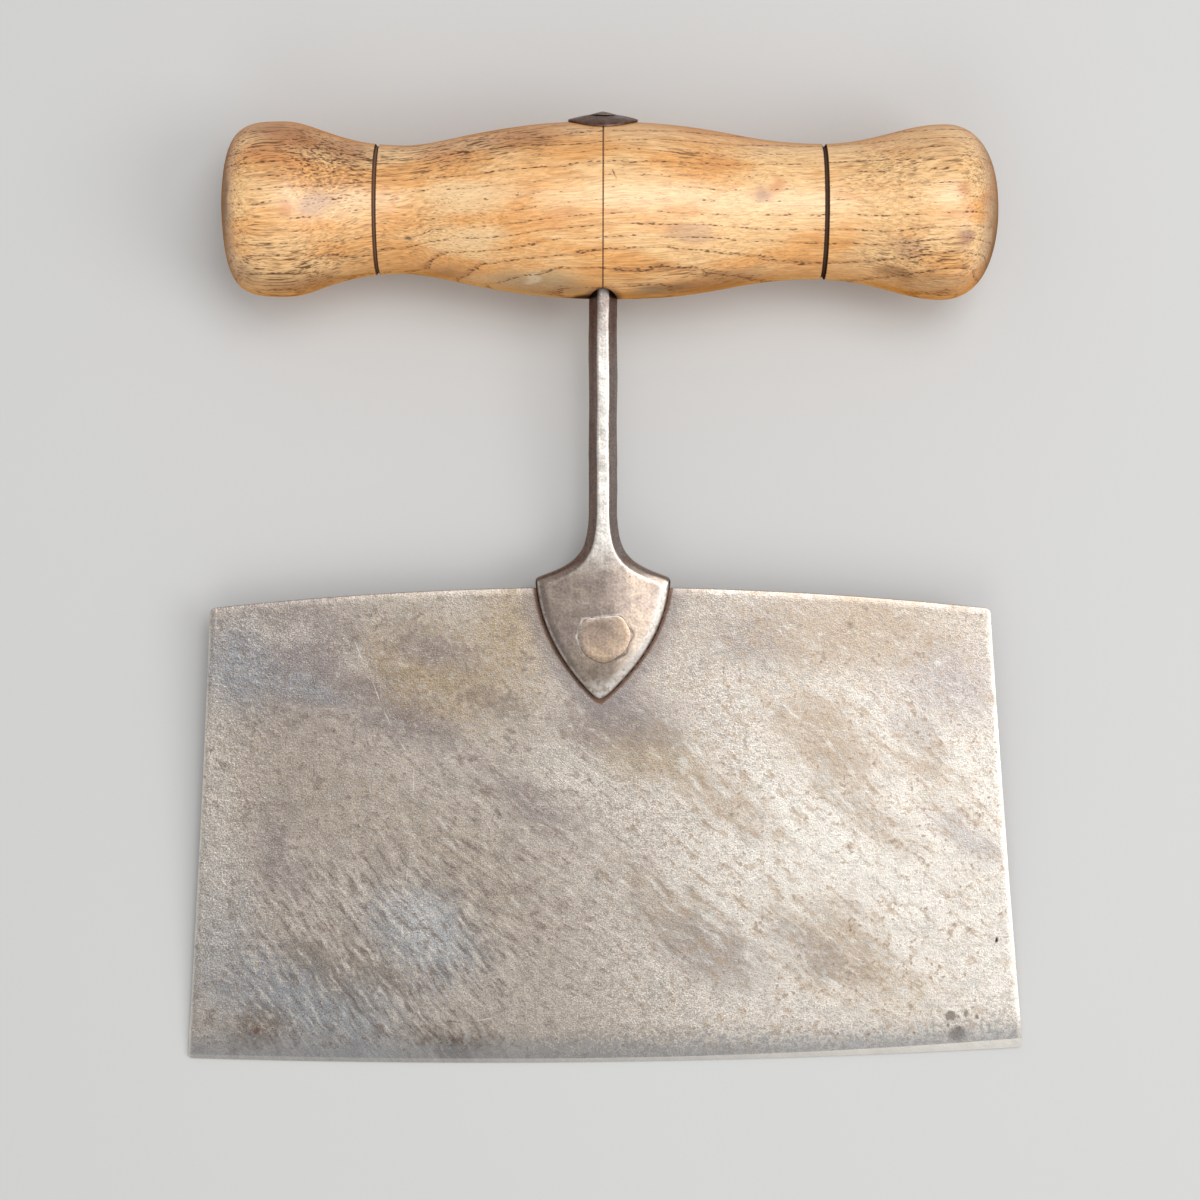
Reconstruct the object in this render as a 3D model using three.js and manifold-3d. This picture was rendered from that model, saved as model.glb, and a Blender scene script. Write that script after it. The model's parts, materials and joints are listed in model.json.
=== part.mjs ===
// Herb chopper: a steel chopping blade hung from a turned ash cross handle by one forged iron shank.
//
// Units are millimetres. The chopper is built standing on its cutting edge: X runs along the handle,
// Z runs up the shank and the front faces -Y. The blade's front face lies in the plane of the shank's
// axis, Y = 0. The finished chopper is then laid on its back, as it lies on a table.

import * as THREE from "three";
import { mergeVertices } from "three/addons/utils/BufferGeometryUtils.js";
import Module from "manifold-3d";

const wasm = await Module();
wasm.setup();

// Blade
const bladeHeight = 94.9; // cutting edge to spine, at the middle
const bladeThickness = 1.4;
const spineLeft = 77; // shank's axis to the spine's corners; hand cut, so the sides differ
const spineRight = 75.9;
const edgeLeft = 82.6; // shank's axis to the cutting edge's corners
const edgeRight = 83.5;
const spineRise = 4.2; // middle of the arched spine above its corners
const edgeBelly = 1.9; // middle of the cutting edge below its corners
const edgeSkew = 1.1; // uneven sharpening: right corner up by this, left corner down
const sideHollow = 0.25; // middle of each side inside a straight line
const bladeCornerRadius = 1;
const grindHeight = 7; // where the flat faces start to taper
const grindThickness = 0.8; // left at the top of the cutting bevel
const bevelHeight = 1;
const edgeThickness = 0.16;

// Shank forged in one with its palm, the shield that laps the front of the blade
const shankAcrossFlats = 5.4;
const forgedChamfer = 1.7; // makes the shank eight-sided and runs on round the palm
const palmWidth = 26;
const palmLap = 22.5; // palm tip below the blade's spine
const palmShoulderRise = 1.8; // palm corners above the blade's spine
const palmTipThickness = 1.9;
const palmCornerRadius = 1;
const palmTipRadius = 2.2;
const palmSide = { across: 0.94, up: 0.45 }; // fullest place of the shield's sides, as shares
const flareHeight = 15; // palm corner up to the plain shank
const flare = { leave: 0.3, spread: 0.18, settle: 0.21 }; // bend of the flare, as shares
const heelHeight = 14; // back of the shank thins over this to lie flush with the blade
const heelBend = 0.4; // share of that height where the thinning turns

// Rivet through palm and blade
const rivetDrop = 9.8; // below the spine
const rivetHeadDiameter = 11;
const rivetHeadDepth = 1.7;
const rivetShankDiameter = 7;
const rivetTailDiameter = 9;
const rivetTailDepth = 0.8;
const rivetLand = 0.2; // straight rim of head and tail

// Turned handle
const handleReach = 168; // handle's axis above the cutting edge
const handleCant = 0.25; // degrees off square to the shank
const leftLength = 73.1; // shank to end
const rightLength = 76.1;
const swellDiameter = 33.9; // the middle, under the palm of the hand
const leftNeckDiameter = 24.6;
const leftNeckOffset = 38.3;
const rightNeckDiameter = 25.9;
const rightNeckOffset = 42;
const leftBulbDiameter = 34.3; // the bulbs are a little fuller than the middle, so it lies on both
const leftCrownLength = 11.8; // bulb's fullest place to its end
const rightBulbDiameter = 34.2;
const rightCrownLength = 10.3;
const leftRingOffset = 43.4; // dark burnt rings, one each side of the shank
const rightRingOffset = 42.4;
const burntRingWidth = 0.9;
const burntRingDepth = 0.7;
const scribeWidth = 0.3; // turner's line round the middle
const scribeDepth = 0.25;

// Tang through the handle, and the rove that it is hammered over
const tangDiameter = 4.6;
const shankSeatDepth = 1.8; // shank's top sunk in the handle's underside
const shoulderHeight = 0.9; // cone from shank to tang
const shoulderLedge = 0.1;
const seatFlare = 0.7; // burnt-out mouth of the hole, wider than the shank
const roveDiameter = 13.6;
const roveRimThickness = 0.4;
const roveThickness = 1.1; // round the tang
const roveCrown = 0.15; // bulge of its slope
const tangHeadDiameter = 6.4;
const tangHeadRim = 0.15;
const tangHeadHeight = 0.55;

// Fits, and how far a cutter runs past the piece it cuts
const metalClearance = 0.2;
const woodClearance = 0.3;
const cutPast = 2;

// Roundness of the meshes
const handleFacets = 44;
const smallFacets = 28;
const profileSteps = 8;
const outlineSteps = 14;
const domeSteps = 4;

// Sizes that follow from the ones above
const edgeWidth = edgeLeft + edgeRight;
const spineCornerZ = bladeHeight - spineRise;
const palmHalf = palmWidth / 2;
const palmCornerZ = bladeHeight + palmShoulderRise;
const palmTipZ = bladeHeight - palmLap;
const flareTopZ = palmCornerZ + flareHeight;
const rivetZ = bladeHeight - rivetDrop;
const shankHalf = shankAcrossFlats / 2;
const shankCorner = shankHalf / Math.cos(Math.PI / 8);
const swellRadius = swellDiameter / 2;
const shankTopZ = handleReach - swellRadius + shankSeatDepth;
const tangRadius = tangDiameter / 2;
const roveRadius = roveDiameter / 2;
const roveBaseZ = handleReach + swellRadius + metalClearance;
const tangHeadZ = roveBaseZ + roveThickness + metalClearance;

// Crests and necks of the turned profile, left to right. Each keeps level for the given shares of
// the way to its neighbours; past the outer crests the face share sets how square the end is.
const turning = [
  { x: -leftLength, face: 0.94 },
  { x: leftCrownLength - leftLength, radius: leftBulbDiameter / 2, levelLeft: 0.74, levelRight: 0.25 },
  { x: -leftNeckOffset, radius: leftNeckDiameter / 2, levelLeft: 0.55, levelRight: 0.2 },
  { x: 0, radius: swellRadius, levelLeft: 0.55, levelRight: 0.55 },
  { x: rightNeckOffset, radius: rightNeckDiameter / 2, levelLeft: 0.4, levelRight: 0.45 },
  { x: rightLength - rightCrownLength, radius: rightBulbDiameter / 2, levelLeft: 0.35, levelRight: 0.53 },
  { x: rightLength, face: 0.73 },
];

const point = (x, y) => new THREE.Vector2(x, y);

// Geometry as a solid that can be joined and cut, and back to geometry
function solid(geometry) {
  const bare = geometry.clone();
  bare.deleteAttribute("normal");
  bare.deleteAttribute("uv");
  const merged = mergeVertices(bare, 1e-4);
  const mesh = new wasm.Mesh({
    numProp: 3,
    vertProperties: merged.attributes.position.array,
    triVerts: new Uint32Array(merged.index.array),
  });
  return new wasm.Manifold(mesh);
}

function geometryOf(body) {
  const mesh = body.getMesh();
  const geometry = new THREE.BufferGeometry();
  geometry.setAttribute("position", new THREE.BufferAttribute(mesh.vertProperties, 3));
  geometry.setIndex(new THREE.BufferAttribute(mesh.triVerts, 1));
  return geometry.toNonIndexed();
}

// Closed outline of curves laid end to end. Each curve starts at a corner with a rounding of its own.
function outlineOf(curves, roundings) {
  const outline = new THREE.Shape();
  curves.forEach((curve, i) => {
    const length = curve.getLength();
    const from = roundings[i] / length;
    const to = 1 - roundings[(i + 1) % curves.length] / length;
    const start = curve.getPointAt(from);
    if (i === 0) outline.moveTo(start.x, start.y);
    else if (roundings[i] > 0) roundTo(outline, curve.getPointAt(0), start);
    const steps = curve.isLineCurve ? 1 : outlineSteps;
    for (let k = 1; k <= steps; k++) {
      const next = curve.getPointAt(from + ((to - from) * k) / steps);
      outline.lineTo(next.x, next.y);
    }
  });
  if (roundings[0] > 0) {
    const first = curves[0].getPointAt(roundings[0] / curves[0].getLength());
    roundTo(outline, curves[0].getPointAt(0), first);
  }
  return outline;
}

function roundTo(outline, corner, end) {
  outline.quadraticCurveTo(corner.x, corner.y, end.x, end.y);
}

// Outline drawn in X and Z, made solid from its front face to its back face, with chamfered edges
function plate(outline, frontY, backY, chamfer) {
  const geometry = new THREE.ExtrudeGeometry(outline, {
    depth: backY - frontY - 2 * chamfer,
    bevelEnabled: chamfer > 0,
    bevelThickness: chamfer,
    bevelSize: chamfer,
    bevelOffset: -chamfer,
    bevelSegments: 1,
    curveSegments: 4,
  });
  return geometry.rotateX(Math.PI / 2).translate(0, backY - chamfer, 0);
}

// Outline drawn in Y and Z, carried across the width in X
function crossPlate(outline, width) {
  const geometry = new THREE.ExtrudeGeometry(outline, { depth: width, bevelEnabled: false, curveSegments: 6 });
  const sideways = new THREE.Matrix4().makeBasis(
    new THREE.Vector3(0, 1, 0),
    new THREE.Vector3(0, 0, 1),
    new THREE.Vector3(1, 0, 0),
  );
  return geometry.applyMatrix4(sideways).translate(-width / 2, 0, 0);
}

// Form turned about Y from [radius, y] pairs, which start and end on the axis or close on themselves
const turned = (pairs, facets) => new THREE.LatheGeometry(pairs.map(([r, y]) => point(r, y)), facets);
const turnedUpright = (pairs, facets) => turned(pairs, facets).rotateX(Math.PI / 2);

// Height of the cutting edge at x: a shallow belly, skewed by sharpening
function edgeLine(x) {
  const share = (2 * x + edgeLeft - edgeRight) / edgeWidth;
  return edgeBelly * share ** 2 + edgeSkew * share;
}

function bladeOutline() {
  const leftFoot = point(-edgeLeft, edgeLine(-edgeLeft));
  const rightFoot = point(edgeRight, edgeLine(edgeRight));
  const rightTop = point(spineRight, spineCornerZ);
  const leftTop = point(-spineLeft, spineCornerZ);
  const waist = (foot, top, side) =>
    point((foot.x + top.x) / 2 - side * 2 * sideHollow, (foot.y + top.y) / 2);
  const sides = [
    new THREE.QuadraticBezierCurve(leftFoot, point((edgeRight - edgeLeft) / 2, -edgeBelly), rightFoot),
    new THREE.QuadraticBezierCurve(rightFoot, waist(rightFoot, rightTop, 1), rightTop),
    new THREE.QuadraticBezierCurve(rightTop, point(0, bladeHeight + spineRise), leftTop),
    new THREE.QuadraticBezierCurve(leftTop, waist(leftFoot, leftTop, -1), leftFoot),
  ];
  return outlineOf(sides, sides.map(() => bladeCornerRadius));
}

// Wedge with the ground faces as its sides: thick at the spine, narrow at the bevel, sharp at the edge
function grindWedge() {
  const bevelSlope = (grindThickness - edgeThickness) / bevelHeight;
  const grindSlope = (bladeThickness - grindThickness) / (grindHeight - bevelHeight);
  const underEdge = -edgeThickness / bevelSlope / 2;
  const overSpine = bladeHeight + cutPast;
  const rows = [
    { height: underEdge, thickness: edgeThickness / 2 },
    { height: bevelHeight, thickness: grindThickness },
    { height: overSpine, thickness: grindThickness + grindSlope * (overSpine - bevelHeight) },
  ];
  const wedge = new THREE.BoxGeometry(edgeWidth + cutPast, 2, 2, 2 * outlineSteps, 2, 1);
  const corners = wedge.attributes.position;
  for (let i = 0; i < corners.count; i++) {
    const { height, thickness } = rows[Math.round(corners.getY(i)) + 1];
    const x = corners.getX(i);
    const y = bladeThickness / 2 - (corners.getZ(i) * thickness) / 2;
    corners.setXYZ(i, x, y, edgeLine(x) + height);
  }
  return wedge;
}

// Rivet lying along Y: a flush countersunk head in the palm's face and a flush tail in the blade's
// back. Grown by a clearance it is the hole, which runs on past both faces.
function rivetForm(clearance) {
  const past = clearance * cutPast;
  const headRadius = rivetHeadDiameter / 2 + clearance;
  const bodyRadius = rivetShankDiameter / 2 + clearance;
  const tailRadius = rivetTailDiameter / 2 + clearance;
  const form = turned(
    [
      [0, -shankHalf - past],
      [headRadius, -shankHalf - past],
      [headRadius, -shankHalf + rivetLand],
      [bodyRadius, -shankHalf + rivetHeadDepth],
      [bodyRadius, bladeThickness - rivetTailDepth],
      [tailRadius, bladeThickness - rivetLand],
      [tailRadius, bladeThickness + past],
      [0, bladeThickness + past],
    ],
    smallFacets,
  );
  return form.translate(0, 0, rivetZ);
}

function bladeBody() {
  const sheet = solid(plate(bladeOutline(), 0, bladeThickness, 0));
  const ground = sheet.intersect(solid(grindWedge()));
  return ground.subtract(solid(rivetForm(metalClearance)));
}

// Front view of the forging, from the palm's tip up its right side, over the top and down its left
function forgingOutline(cornerRadius, tipRadius) {
  const tip = point(0, palmTipZ);
  const flareRise = (share) => palmCornerZ + share * flareHeight;
  const side = (sign) => {
    const corner = point(sign * palmHalf, palmCornerZ);
    const fullest = point(sign * palmSide.across * palmHalf, palmTipZ + palmSide.up * (palmCornerZ - palmTipZ));
    const neck = point(sign * shankHalf, flareTopZ);
    const leave = point(neck.x, flareRise(flare.leave));
    const settle = point(neck.x + flare.spread * (corner.x - neck.x), flareRise(flare.settle));
    return { corner, fullest, neck, leave, settle, top: point(neck.x, shankTopZ) };
  };
  const [right, left] = [side(1), side(-1)];
  const curves = [
    new THREE.QuadraticBezierCurve(tip, right.fullest, right.corner),
    new THREE.CubicBezierCurve(right.corner, right.settle, right.leave, right.neck),
    new THREE.LineCurve(right.neck, right.top),
    new THREE.LineCurve(right.top, left.top),
    new THREE.LineCurve(left.top, left.neck),
    new THREE.CubicBezierCurve(left.neck, left.leave, left.settle, left.corner),
    new THREE.QuadraticBezierCurve(left.corner, left.fullest, tip),
  ];
  return outlineOf(curves, [tipRadius, cornerRadius, 0, 0, 0, 0, cornerRadius]);
}

// Space behind the palm: the blade in its rebate, and the thinning of the shank's back above it
function backCutter() {
  const rebateZ = bladeHeight + metalClearance;
  const heelTopZ = rebateZ + heelHeight;
  const farY = shankHalf + cutPast;
  const outline = new THREE.Shape();
  outline.moveTo(-metalClearance, palmTipZ - cutPast);
  outline.lineTo(farY, palmTipZ - cutPast);
  outline.lineTo(farY, heelTopZ);
  outline.lineTo(shankHalf, heelTopZ);
  outline.quadraticCurveTo(shankHalf, rebateZ + heelBend * heelHeight, bladeThickness, rebateZ);
  outline.lineTo(-metalClearance, rebateZ);
  return crossPlate(outline, palmWidth + cutPast);
}

// Slice off the palm's face below the rivet, which thins the palm to its tip
function tipCutter() {
  const start = point(-shankHalf, rivetZ - rivetHeadDiameter / 2 - metalClearance - rivetLand);
  const end = point(-palmTipThickness, palmTipZ);
  const above = start.clone().add(start).sub(end);
  const below = end.clone().add(end).sub(start);
  const outline = new THREE.Shape([above, point(above.x, below.y), below]);
  return crossPlate(outline, palmWidth + cutPast);
}

// Bends a flat turned form over the top of the handle
function bentOverHandle(geometry) {
  const bendRadius = swellRadius + metalClearance;
  const corners = geometry.attributes.position;
  for (let i = 0; i < corners.count; i++) {
    const drop = bendRadius - Math.sqrt(bendRadius ** 2 - corners.getY(i) ** 2);
    corners.setZ(i, corners.getZ(i) - drop);
  }
  return geometry;
}

function tangHead() {
  const headRadius = tangHeadDiameter / 2;
  const pairs = [
    [0, tangHeadZ],
    [headRadius, tangHeadZ],
  ];
  for (let k = 0; k <= domeSteps; k++) {
    const angle = ((Math.PI / 2) * k) / domeSteps;
    const height = tangHeadRim + (tangHeadHeight - tangHeadRim) * Math.sin(angle);
    pairs.push([k === domeSteps ? 0 : headRadius * Math.cos(angle), tangHeadZ + height]);
  }
  return bentOverHandle(turnedUpright(pairs, smallFacets));
}

function tang() {
  const shoulderRadius = shankHalf - shoulderLedge;
  const topZ = tangHeadZ + tangHeadRim;
  return turnedUpright(
    [
      [0, shankTopZ - shankHalf],
      [shoulderRadius, shankTopZ - shankHalf],
      [shoulderRadius, shankTopZ],
      [tangRadius, shankTopZ + shoulderHeight],
      [tangRadius, topZ],
      [0, topZ],
    ],
    smallFacets,
  );
}

function forgingBody() {
  const chamfered = solid(plate(forgingOutline(0, 0), -shankHalf, shankHalf, forgedChamfer));
  const rounded = plate(forgingOutline(palmCornerRadius, palmTipRadius), -shankAcrossFlats, shankAcrossFlats, 0);
  const lapped = chamfered.intersect(solid(rounded)).subtract(solid(backCutter()));
  const palmed = lapped.subtract(solid(tipCutter())).subtract(solid(rivetForm(metalClearance)));
  return palmed.add(solid(tang())).add(solid(tangHead()));
}

function handleProfile() {
  const path = new THREE.Path().moveTo(turning[0].x, 0);
  for (let i = 1; i < turning.length; i++) {
    const [from, to] = [turning[i - 1], turning[i]];
    const run = to.x - from.x;
    const leave = from.face ? point(from.x, from.face * to.radius) : point(from.x + from.levelRight * run, from.radius);
    const arrive = to.face ? point(to.x, to.face * from.radius) : point(to.x - to.levelLeft * run, to.radius);
    path.bezierCurveTo(leave.x, leave.y, arrive.x, arrive.y, to.x, to.radius ?? 0);
  }
  return path.getPoints(profileSteps);
}

function radiusAt(profile, x) {
  const next = profile.findIndex((entry) => entry.x > x);
  const [from, to] = [profile[next - 1], profile[next]];
  return from.y + ((to.y - from.y) * (x - from.x)) / (to.x - from.x);
}

// Profile with a ring cut in it at x
function ringed(profile, x, width, depth) {
  const rim = (offset, sunk) => point(x + offset, radiusAt(profile, x + offset) - sunk);
  const ring = [rim(-width / 2, 0), rim(-width / 4, depth), rim(width / 4, depth), rim(width / 2, 0)];
  const left = profile.filter((entry) => entry.x < x - width);
  const right = profile.filter((entry) => entry.x > x + width);
  return [...left, ...ring, ...right];
}

// Hole burnt and drilled through the handle: flared mouth, shank seat, shoulder cone, tang bore
function tangHole() {
  const seatRadius = shankCorner + woodClearance;
  const boreRadius = tangRadius + woodClearance;
  const mouthZ = shankTopZ - shankSeatDepth;
  const topZ = handleReach + swellRadius + cutPast;
  return turnedUpright(
    [
      [0, mouthZ - cutPast],
      [seatRadius + seatFlare, mouthZ - cutPast],
      [seatRadius + seatFlare, mouthZ],
      [seatRadius, shankTopZ + woodClearance],
      [boreRadius, shankTopZ + shoulderHeight + woodClearance],
      [boreRadius, topZ],
      [0, topZ],
    ],
    smallFacets,
  );
}

function handleBody() {
  let profile = handleProfile();
  profile = ringed(profile, -leftRingOffset, burntRingWidth, burntRingDepth);
  profile = ringed(profile, rightRingOffset, burntRingWidth, burntRingDepth);
  profile = ringed(profile, 0, scribeWidth, scribeDepth);
  const pairs = profile.map((entry) => [entry.y, entry.x]);
  const grip = turned(pairs, handleFacets).rotateZ(-Math.PI / 2);
  grip.rotateY(THREE.MathUtils.degToRad(handleCant)).translate(0, 0, handleReach);
  return solid(grip).subtract(solid(tangHole()));
}

// Low conical washer with its slope slightly bulged, bent to sit on the handle
function roveForm() {
  const holeRadius = tangRadius + metalClearance;
  const across = (share) => roveRadius + (holeRadius - roveRadius) * share;
  const slope = (share) =>
    roveRimThickness + (roveThickness - roveRimThickness) * share + 4 * roveCrown * share * (1 - share);
  const pairs = [];
  for (let k = 0; k <= domeSteps; k++) pairs.push([across(1 - k / domeSteps), roveBaseZ]);
  for (let k = 0; k <= domeSteps; k++) pairs.push([across(k / domeSteps), roveBaseZ + slope(k / domeSteps)]);
  pairs.push(pairs[0]);
  return bentOverHandle(turnedUpright(pairs, smallFacets));
}

// Chopper of named pieces, standing on its edge
const chopper = new THREE.Group();
chopper.name = "chopper";

function addPiece(name, geometry, color, roughness, metalness) {
  const piece = new THREE.Mesh(geometry, new THREE.MeshStandardMaterial({ color, roughness, metalness }));
  piece.name = name;
  chopper.add(piece);
}

addPiece("blade", geometryOf(bladeBody()), 0xa79c8f, 0.45, 0.9);
addPiece("tang_shank", geometryOf(forgingBody()), 0x7d736b, 0.4, 0.9);
addPiece("palm_rivet", rivetForm(0), 0x8d847b, 0.4, 0.9);
addPiece("handle", geometryOf(handleBody()), 0xc08a4e, 0.45, 0);
addPiece("tang_rove", roveForm(), 0x4c4442, 0.5, 0.85);

// Laid on its back: the handle's fullest round and the back of the cutting bevel both touch the table
const restRadius = Math.max(swellDiameter, leftBulbDiameter, rightBulbDiameter) / 2;
const restY = (bladeThickness + grindThickness) / 2;
const restReach = handleReach - bevelHeight;
const restTilt = Math.asin(restRadius / Math.hypot(restReach, restY)) - Math.atan2(restY, restReach);
chopper.rotation.x = restTilt - Math.PI / 2;

const group = new THREE.Group();
group.name = "herb_chopper";
group.add(chopper);

// Centred over the origin with its lowest place at Z = 0
group.updateMatrixWorld(true);
const extent = new THREE.Box3().setFromObject(chopper, true);
chopper.position.set(-(extent.min.x + extent.max.x) / 2, -(extent.min.y + extent.max.y) / 2, -extent.min.z);

export default group;
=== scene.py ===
# Herb chopper on a pale table: a worn carbon-steel blade riveted to the palm of a forged iron shank,
# whose tang runs through a turned ash handle and is hammered over a rove.
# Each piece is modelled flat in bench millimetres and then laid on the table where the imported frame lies:
# X runs along the handle, Y from the cutting edge up to the handle, Z out of the blade's front face.

import json
import math
from functools import partial

import bmesh
import bpy
from mathutils import Matrix, Vector
from mathutils.geometry import interpolate_bezier
from mathutils.kdtree import KDTree


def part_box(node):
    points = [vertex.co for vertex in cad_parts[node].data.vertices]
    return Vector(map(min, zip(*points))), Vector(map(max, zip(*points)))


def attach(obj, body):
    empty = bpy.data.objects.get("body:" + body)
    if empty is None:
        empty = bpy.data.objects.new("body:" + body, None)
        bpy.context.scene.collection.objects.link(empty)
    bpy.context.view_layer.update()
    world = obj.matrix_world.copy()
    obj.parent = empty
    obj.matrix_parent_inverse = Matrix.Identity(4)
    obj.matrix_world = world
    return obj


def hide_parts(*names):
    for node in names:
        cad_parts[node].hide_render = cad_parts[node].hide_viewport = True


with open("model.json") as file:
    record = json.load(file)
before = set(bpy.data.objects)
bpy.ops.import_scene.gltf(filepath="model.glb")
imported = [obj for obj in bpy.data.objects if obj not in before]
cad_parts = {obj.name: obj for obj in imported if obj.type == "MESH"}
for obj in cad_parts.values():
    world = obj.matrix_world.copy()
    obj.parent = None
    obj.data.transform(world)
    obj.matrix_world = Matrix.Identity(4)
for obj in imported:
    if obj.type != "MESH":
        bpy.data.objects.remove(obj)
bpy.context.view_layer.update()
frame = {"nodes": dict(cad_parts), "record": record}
print("frame loaded:", ", ".join(sorted(frame["nodes"])))

# where the bench lies on the table: the slope of the blade's back, the shank's middle and the handle's axis
bench = {
    "reach": 168.0,  # cutting edge to the handle's axis
    "unit": 0.001,  # one bench millimetre in metres
}
tilt = math.asin(frame["record"]["mounts"][0]["axis"][1])
shankMiddle = sum(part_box("tang_shank"), Vector()) / 2
handleMiddle = sum(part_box("handle"), Vector()) / 2
handleAxis = Vector((shankMiddle.x, handleMiddle.y, handleMiddle.z))
benchToTable = (
    Matrix.Translation(handleAxis)
    @ Matrix.Rotation(tilt, 4, "X")
    @ Matrix.Scale(bench["unit"], 4)
    @ Matrix.Translation((0, -bench["reach"], 0))
)


# modelling helpers

def leaveEditMode():
    if bpy.context.mode != "OBJECT":
        bpy.ops.object.mode_set(mode="OBJECT")


def selectOnly(*pieces):
    leaveEditMode()
    bpy.ops.object.select_all(action="DESELECT")
    for piece in pieces:
        piece.select_set(True)
        bpy.context.view_layer.objects.active = piece


def startVertex(name, place):
    selectOnly()
    bpy.ops.mesh.primitive_plane_add(size=1)
    piece = bpy.context.object
    piece.name = name
    piece.data.name = name
    bpy.ops.object.mode_set(mode="EDIT")
    bpy.ops.mesh.select_mode(type="VERT")
    bpy.ops.mesh.select_all(action="SELECT")
    bpy.ops.mesh.merge(type="CENTER")
    bpy.ops.transform.translate(value=place)
    return piece


def drawThrough(points):
    for here, there in zip(points, points[1:]):
        bpy.ops.mesh.extrude_region_move(TRANSFORM_OT_translate={"value": there - here})


def drawnLoop(name, points):
    piece = startVertex(name, points[0])
    drawThrough(points + points[:1])
    bpy.ops.mesh.select_all(action="SELECT")
    bpy.ops.mesh.remove_doubles(threshold=0.001)
    bpy.ops.mesh.edge_face_add()
    return piece


def raiseSelected(step):
    bpy.ops.mesh.extrude_region_move(TRANSFORM_OT_translate={"value": step})


def faceOutwards():
    bpy.ops.mesh.select_all(action="SELECT")
    bpy.ops.mesh.remove_doubles(threshold=0.002)
    bpy.ops.mesh.normals_make_consistent(inside=False)


def spinRound(steps, axis, centre):
    bpy.ops.mesh.select_all(action="SELECT")
    bpy.ops.mesh.spin(steps=steps, angle=math.tau, axis=axis, center=centre)
    faceOutwards()


def pick(piece, kind, test):
    bpy.ops.mesh.select_mode(type=kind)
    bpy.ops.mesh.select_all(action="DESELECT")
    mesh = bmesh.from_edit_mesh(piece.data)
    for part in {"VERT": mesh.verts, "EDGE": mesh.edges, "FACE": mesh.faces}[kind]:
        if test(part):
            part.select_set(True)
    mesh.select_flush_mode()
    bmesh.update_edit_mesh(piece.data)


def nudge(piece, newPlace):
    mesh = bmesh.from_edit_mesh(piece.data)
    for vertex in mesh.verts:
        vertex.co = newPlace(vertex.co)
    bmesh.update_edit_mesh(piece.data)


def shapeWith(piece, kind, **settings):
    selectOnly(piece)
    modifier = piece.modifiers.new(kind.lower(), kind)
    for name, value in settings.items():
        setattr(modifier, name, value)
    bpy.ops.object.modifier_apply(modifier=modifier.name)


def cutWith(piece, cutter):
    shapeWith(piece, "BOOLEAN", object=cutter, operation="DIFFERENCE", solver="EXACT")
    bpy.data.objects.remove(cutter)


def clouds(name, size):
    texture = bpy.data.textures.new(name, "CLOUDS")
    texture.noise_scale = size
    return texture


def layOnTable(piece, node, finish, smoothAngle):
    selectOnly(piece)
    bpy.ops.object.shade_smooth_by_angle(angle=math.radians(smoothAngle))
    piece.matrix_world = benchToTable
    bpy.ops.object.transform_apply(location=True, rotation=True, scale=True)
    piece.data.materials.clear()
    piece.data.materials.append(finish)
    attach(piece, "root")
    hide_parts(node)
    print(piece.name, "laid on the table:", len(piece.data.polygons), "faces")


# finish helpers

def linear(hexColour):
    channels = [int(hexColour[k:k + 2], 16) / 255 for k in (1, 3, 5)]
    return tuple(c / 12.92 if c <= 0.04045 else ((c + 0.055) / 1.055) ** 2.4 for c in channels) + (1.0,)


def wire(node, links):
    for key, value in links.items():
        source = value.outputs[0] if isinstance(value, bpy.types.Node) else value
        if isinstance(source, bpy.types.NodeSocket):
            node.id_data.links.new(source, node.inputs[key])
        else:
            node.inputs[key].default_value = source


def addNode(tree, kind, links, **settings):
    node = tree.nodes.new("ShaderNode" + kind)
    for name, value in settings.items():
        setattr(node, name, value)
    wire(node, links)
    return node


def newFinish(name):
    finish = bpy.data.materials.new(name)
    finish.use_nodes = True
    return finish, finish.node_tree.nodes["Principled BSDF"], partial(addNode, finish.node_tree)


def benchPlace(add, origin):
    seat = benchToTable @ Vector(origin)
    place = {"Vector": add("TexCoord", {}).outputs["Object"], "Location": seat,
             "Rotation": (tilt, 0, 0), "Scale": (bench["unit"],) * 3}
    return add("Mapping", place, vector_type="TEXTURE")


def linearTones(hexTones):
    return {name: linear(hexColour) for name, hexColour in hexTones.items()}


def roundBlot(add, place, at, reach, turn=0):
    # 1 at the middle of an ellipsoid that is turned about the front, and 0 at its rim; sizes in millimetres
    local = add("Mapping", {"Vector": place, "Location": at, "Scale": reach,
                            "Rotation": (0, 0, math.radians(turn))}, vector_type="TEXTURE")
    return add("TexGradient", {"Vector": local}, gradient_type="SPHERICAL").outputs["Fac"]


def softPatches(add, place, colour, patches, tones, ragged=0.0, start=0.0, soft=0.5):
    # soft stains laid one over the other and broken into specks by a ragged noise;
    # a row may end with a softness of its own
    for patch in patches:
        tone, at, reach, strength, turn, ownSoft = (*patch, soft)[:6]
        blot = add("Math", {0: roundBlot(add, place, at, reach, turn), 1: ragged}, operation="ADD")
        share = add("MapRange", {"Value": blot, "From Min": start, "From Max": start + ownSoft,
                                 "To Max": strength}, interpolation_type="SMOOTHSTEP")
        colour = add("MixRGB", {"Fac": share, "Color1": colour, "Color2": tones[tone]})
    return colour


def zoneSum(add, place, zones):
    total = 0.0
    for at, reach, share, turn in zones:
        total = add("Math", {0: roundBlot(add, place, at, reach, turn), 1: share, 2: total},
                    operation="MULTIPLY_ADD")
    return total


def shaded(add, colour, noise, darkest, lightest):
    shade = add("MapRange", {"Value": noise, "From Min": 0.3, "From Max": 0.7,
                             "To Min": darkest, "To Max": lightest})
    return add("MixRGB", {"Fac": 1.0, "Color1": colour, "Color2": shade}, blend_type="MULTIPLY")


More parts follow.
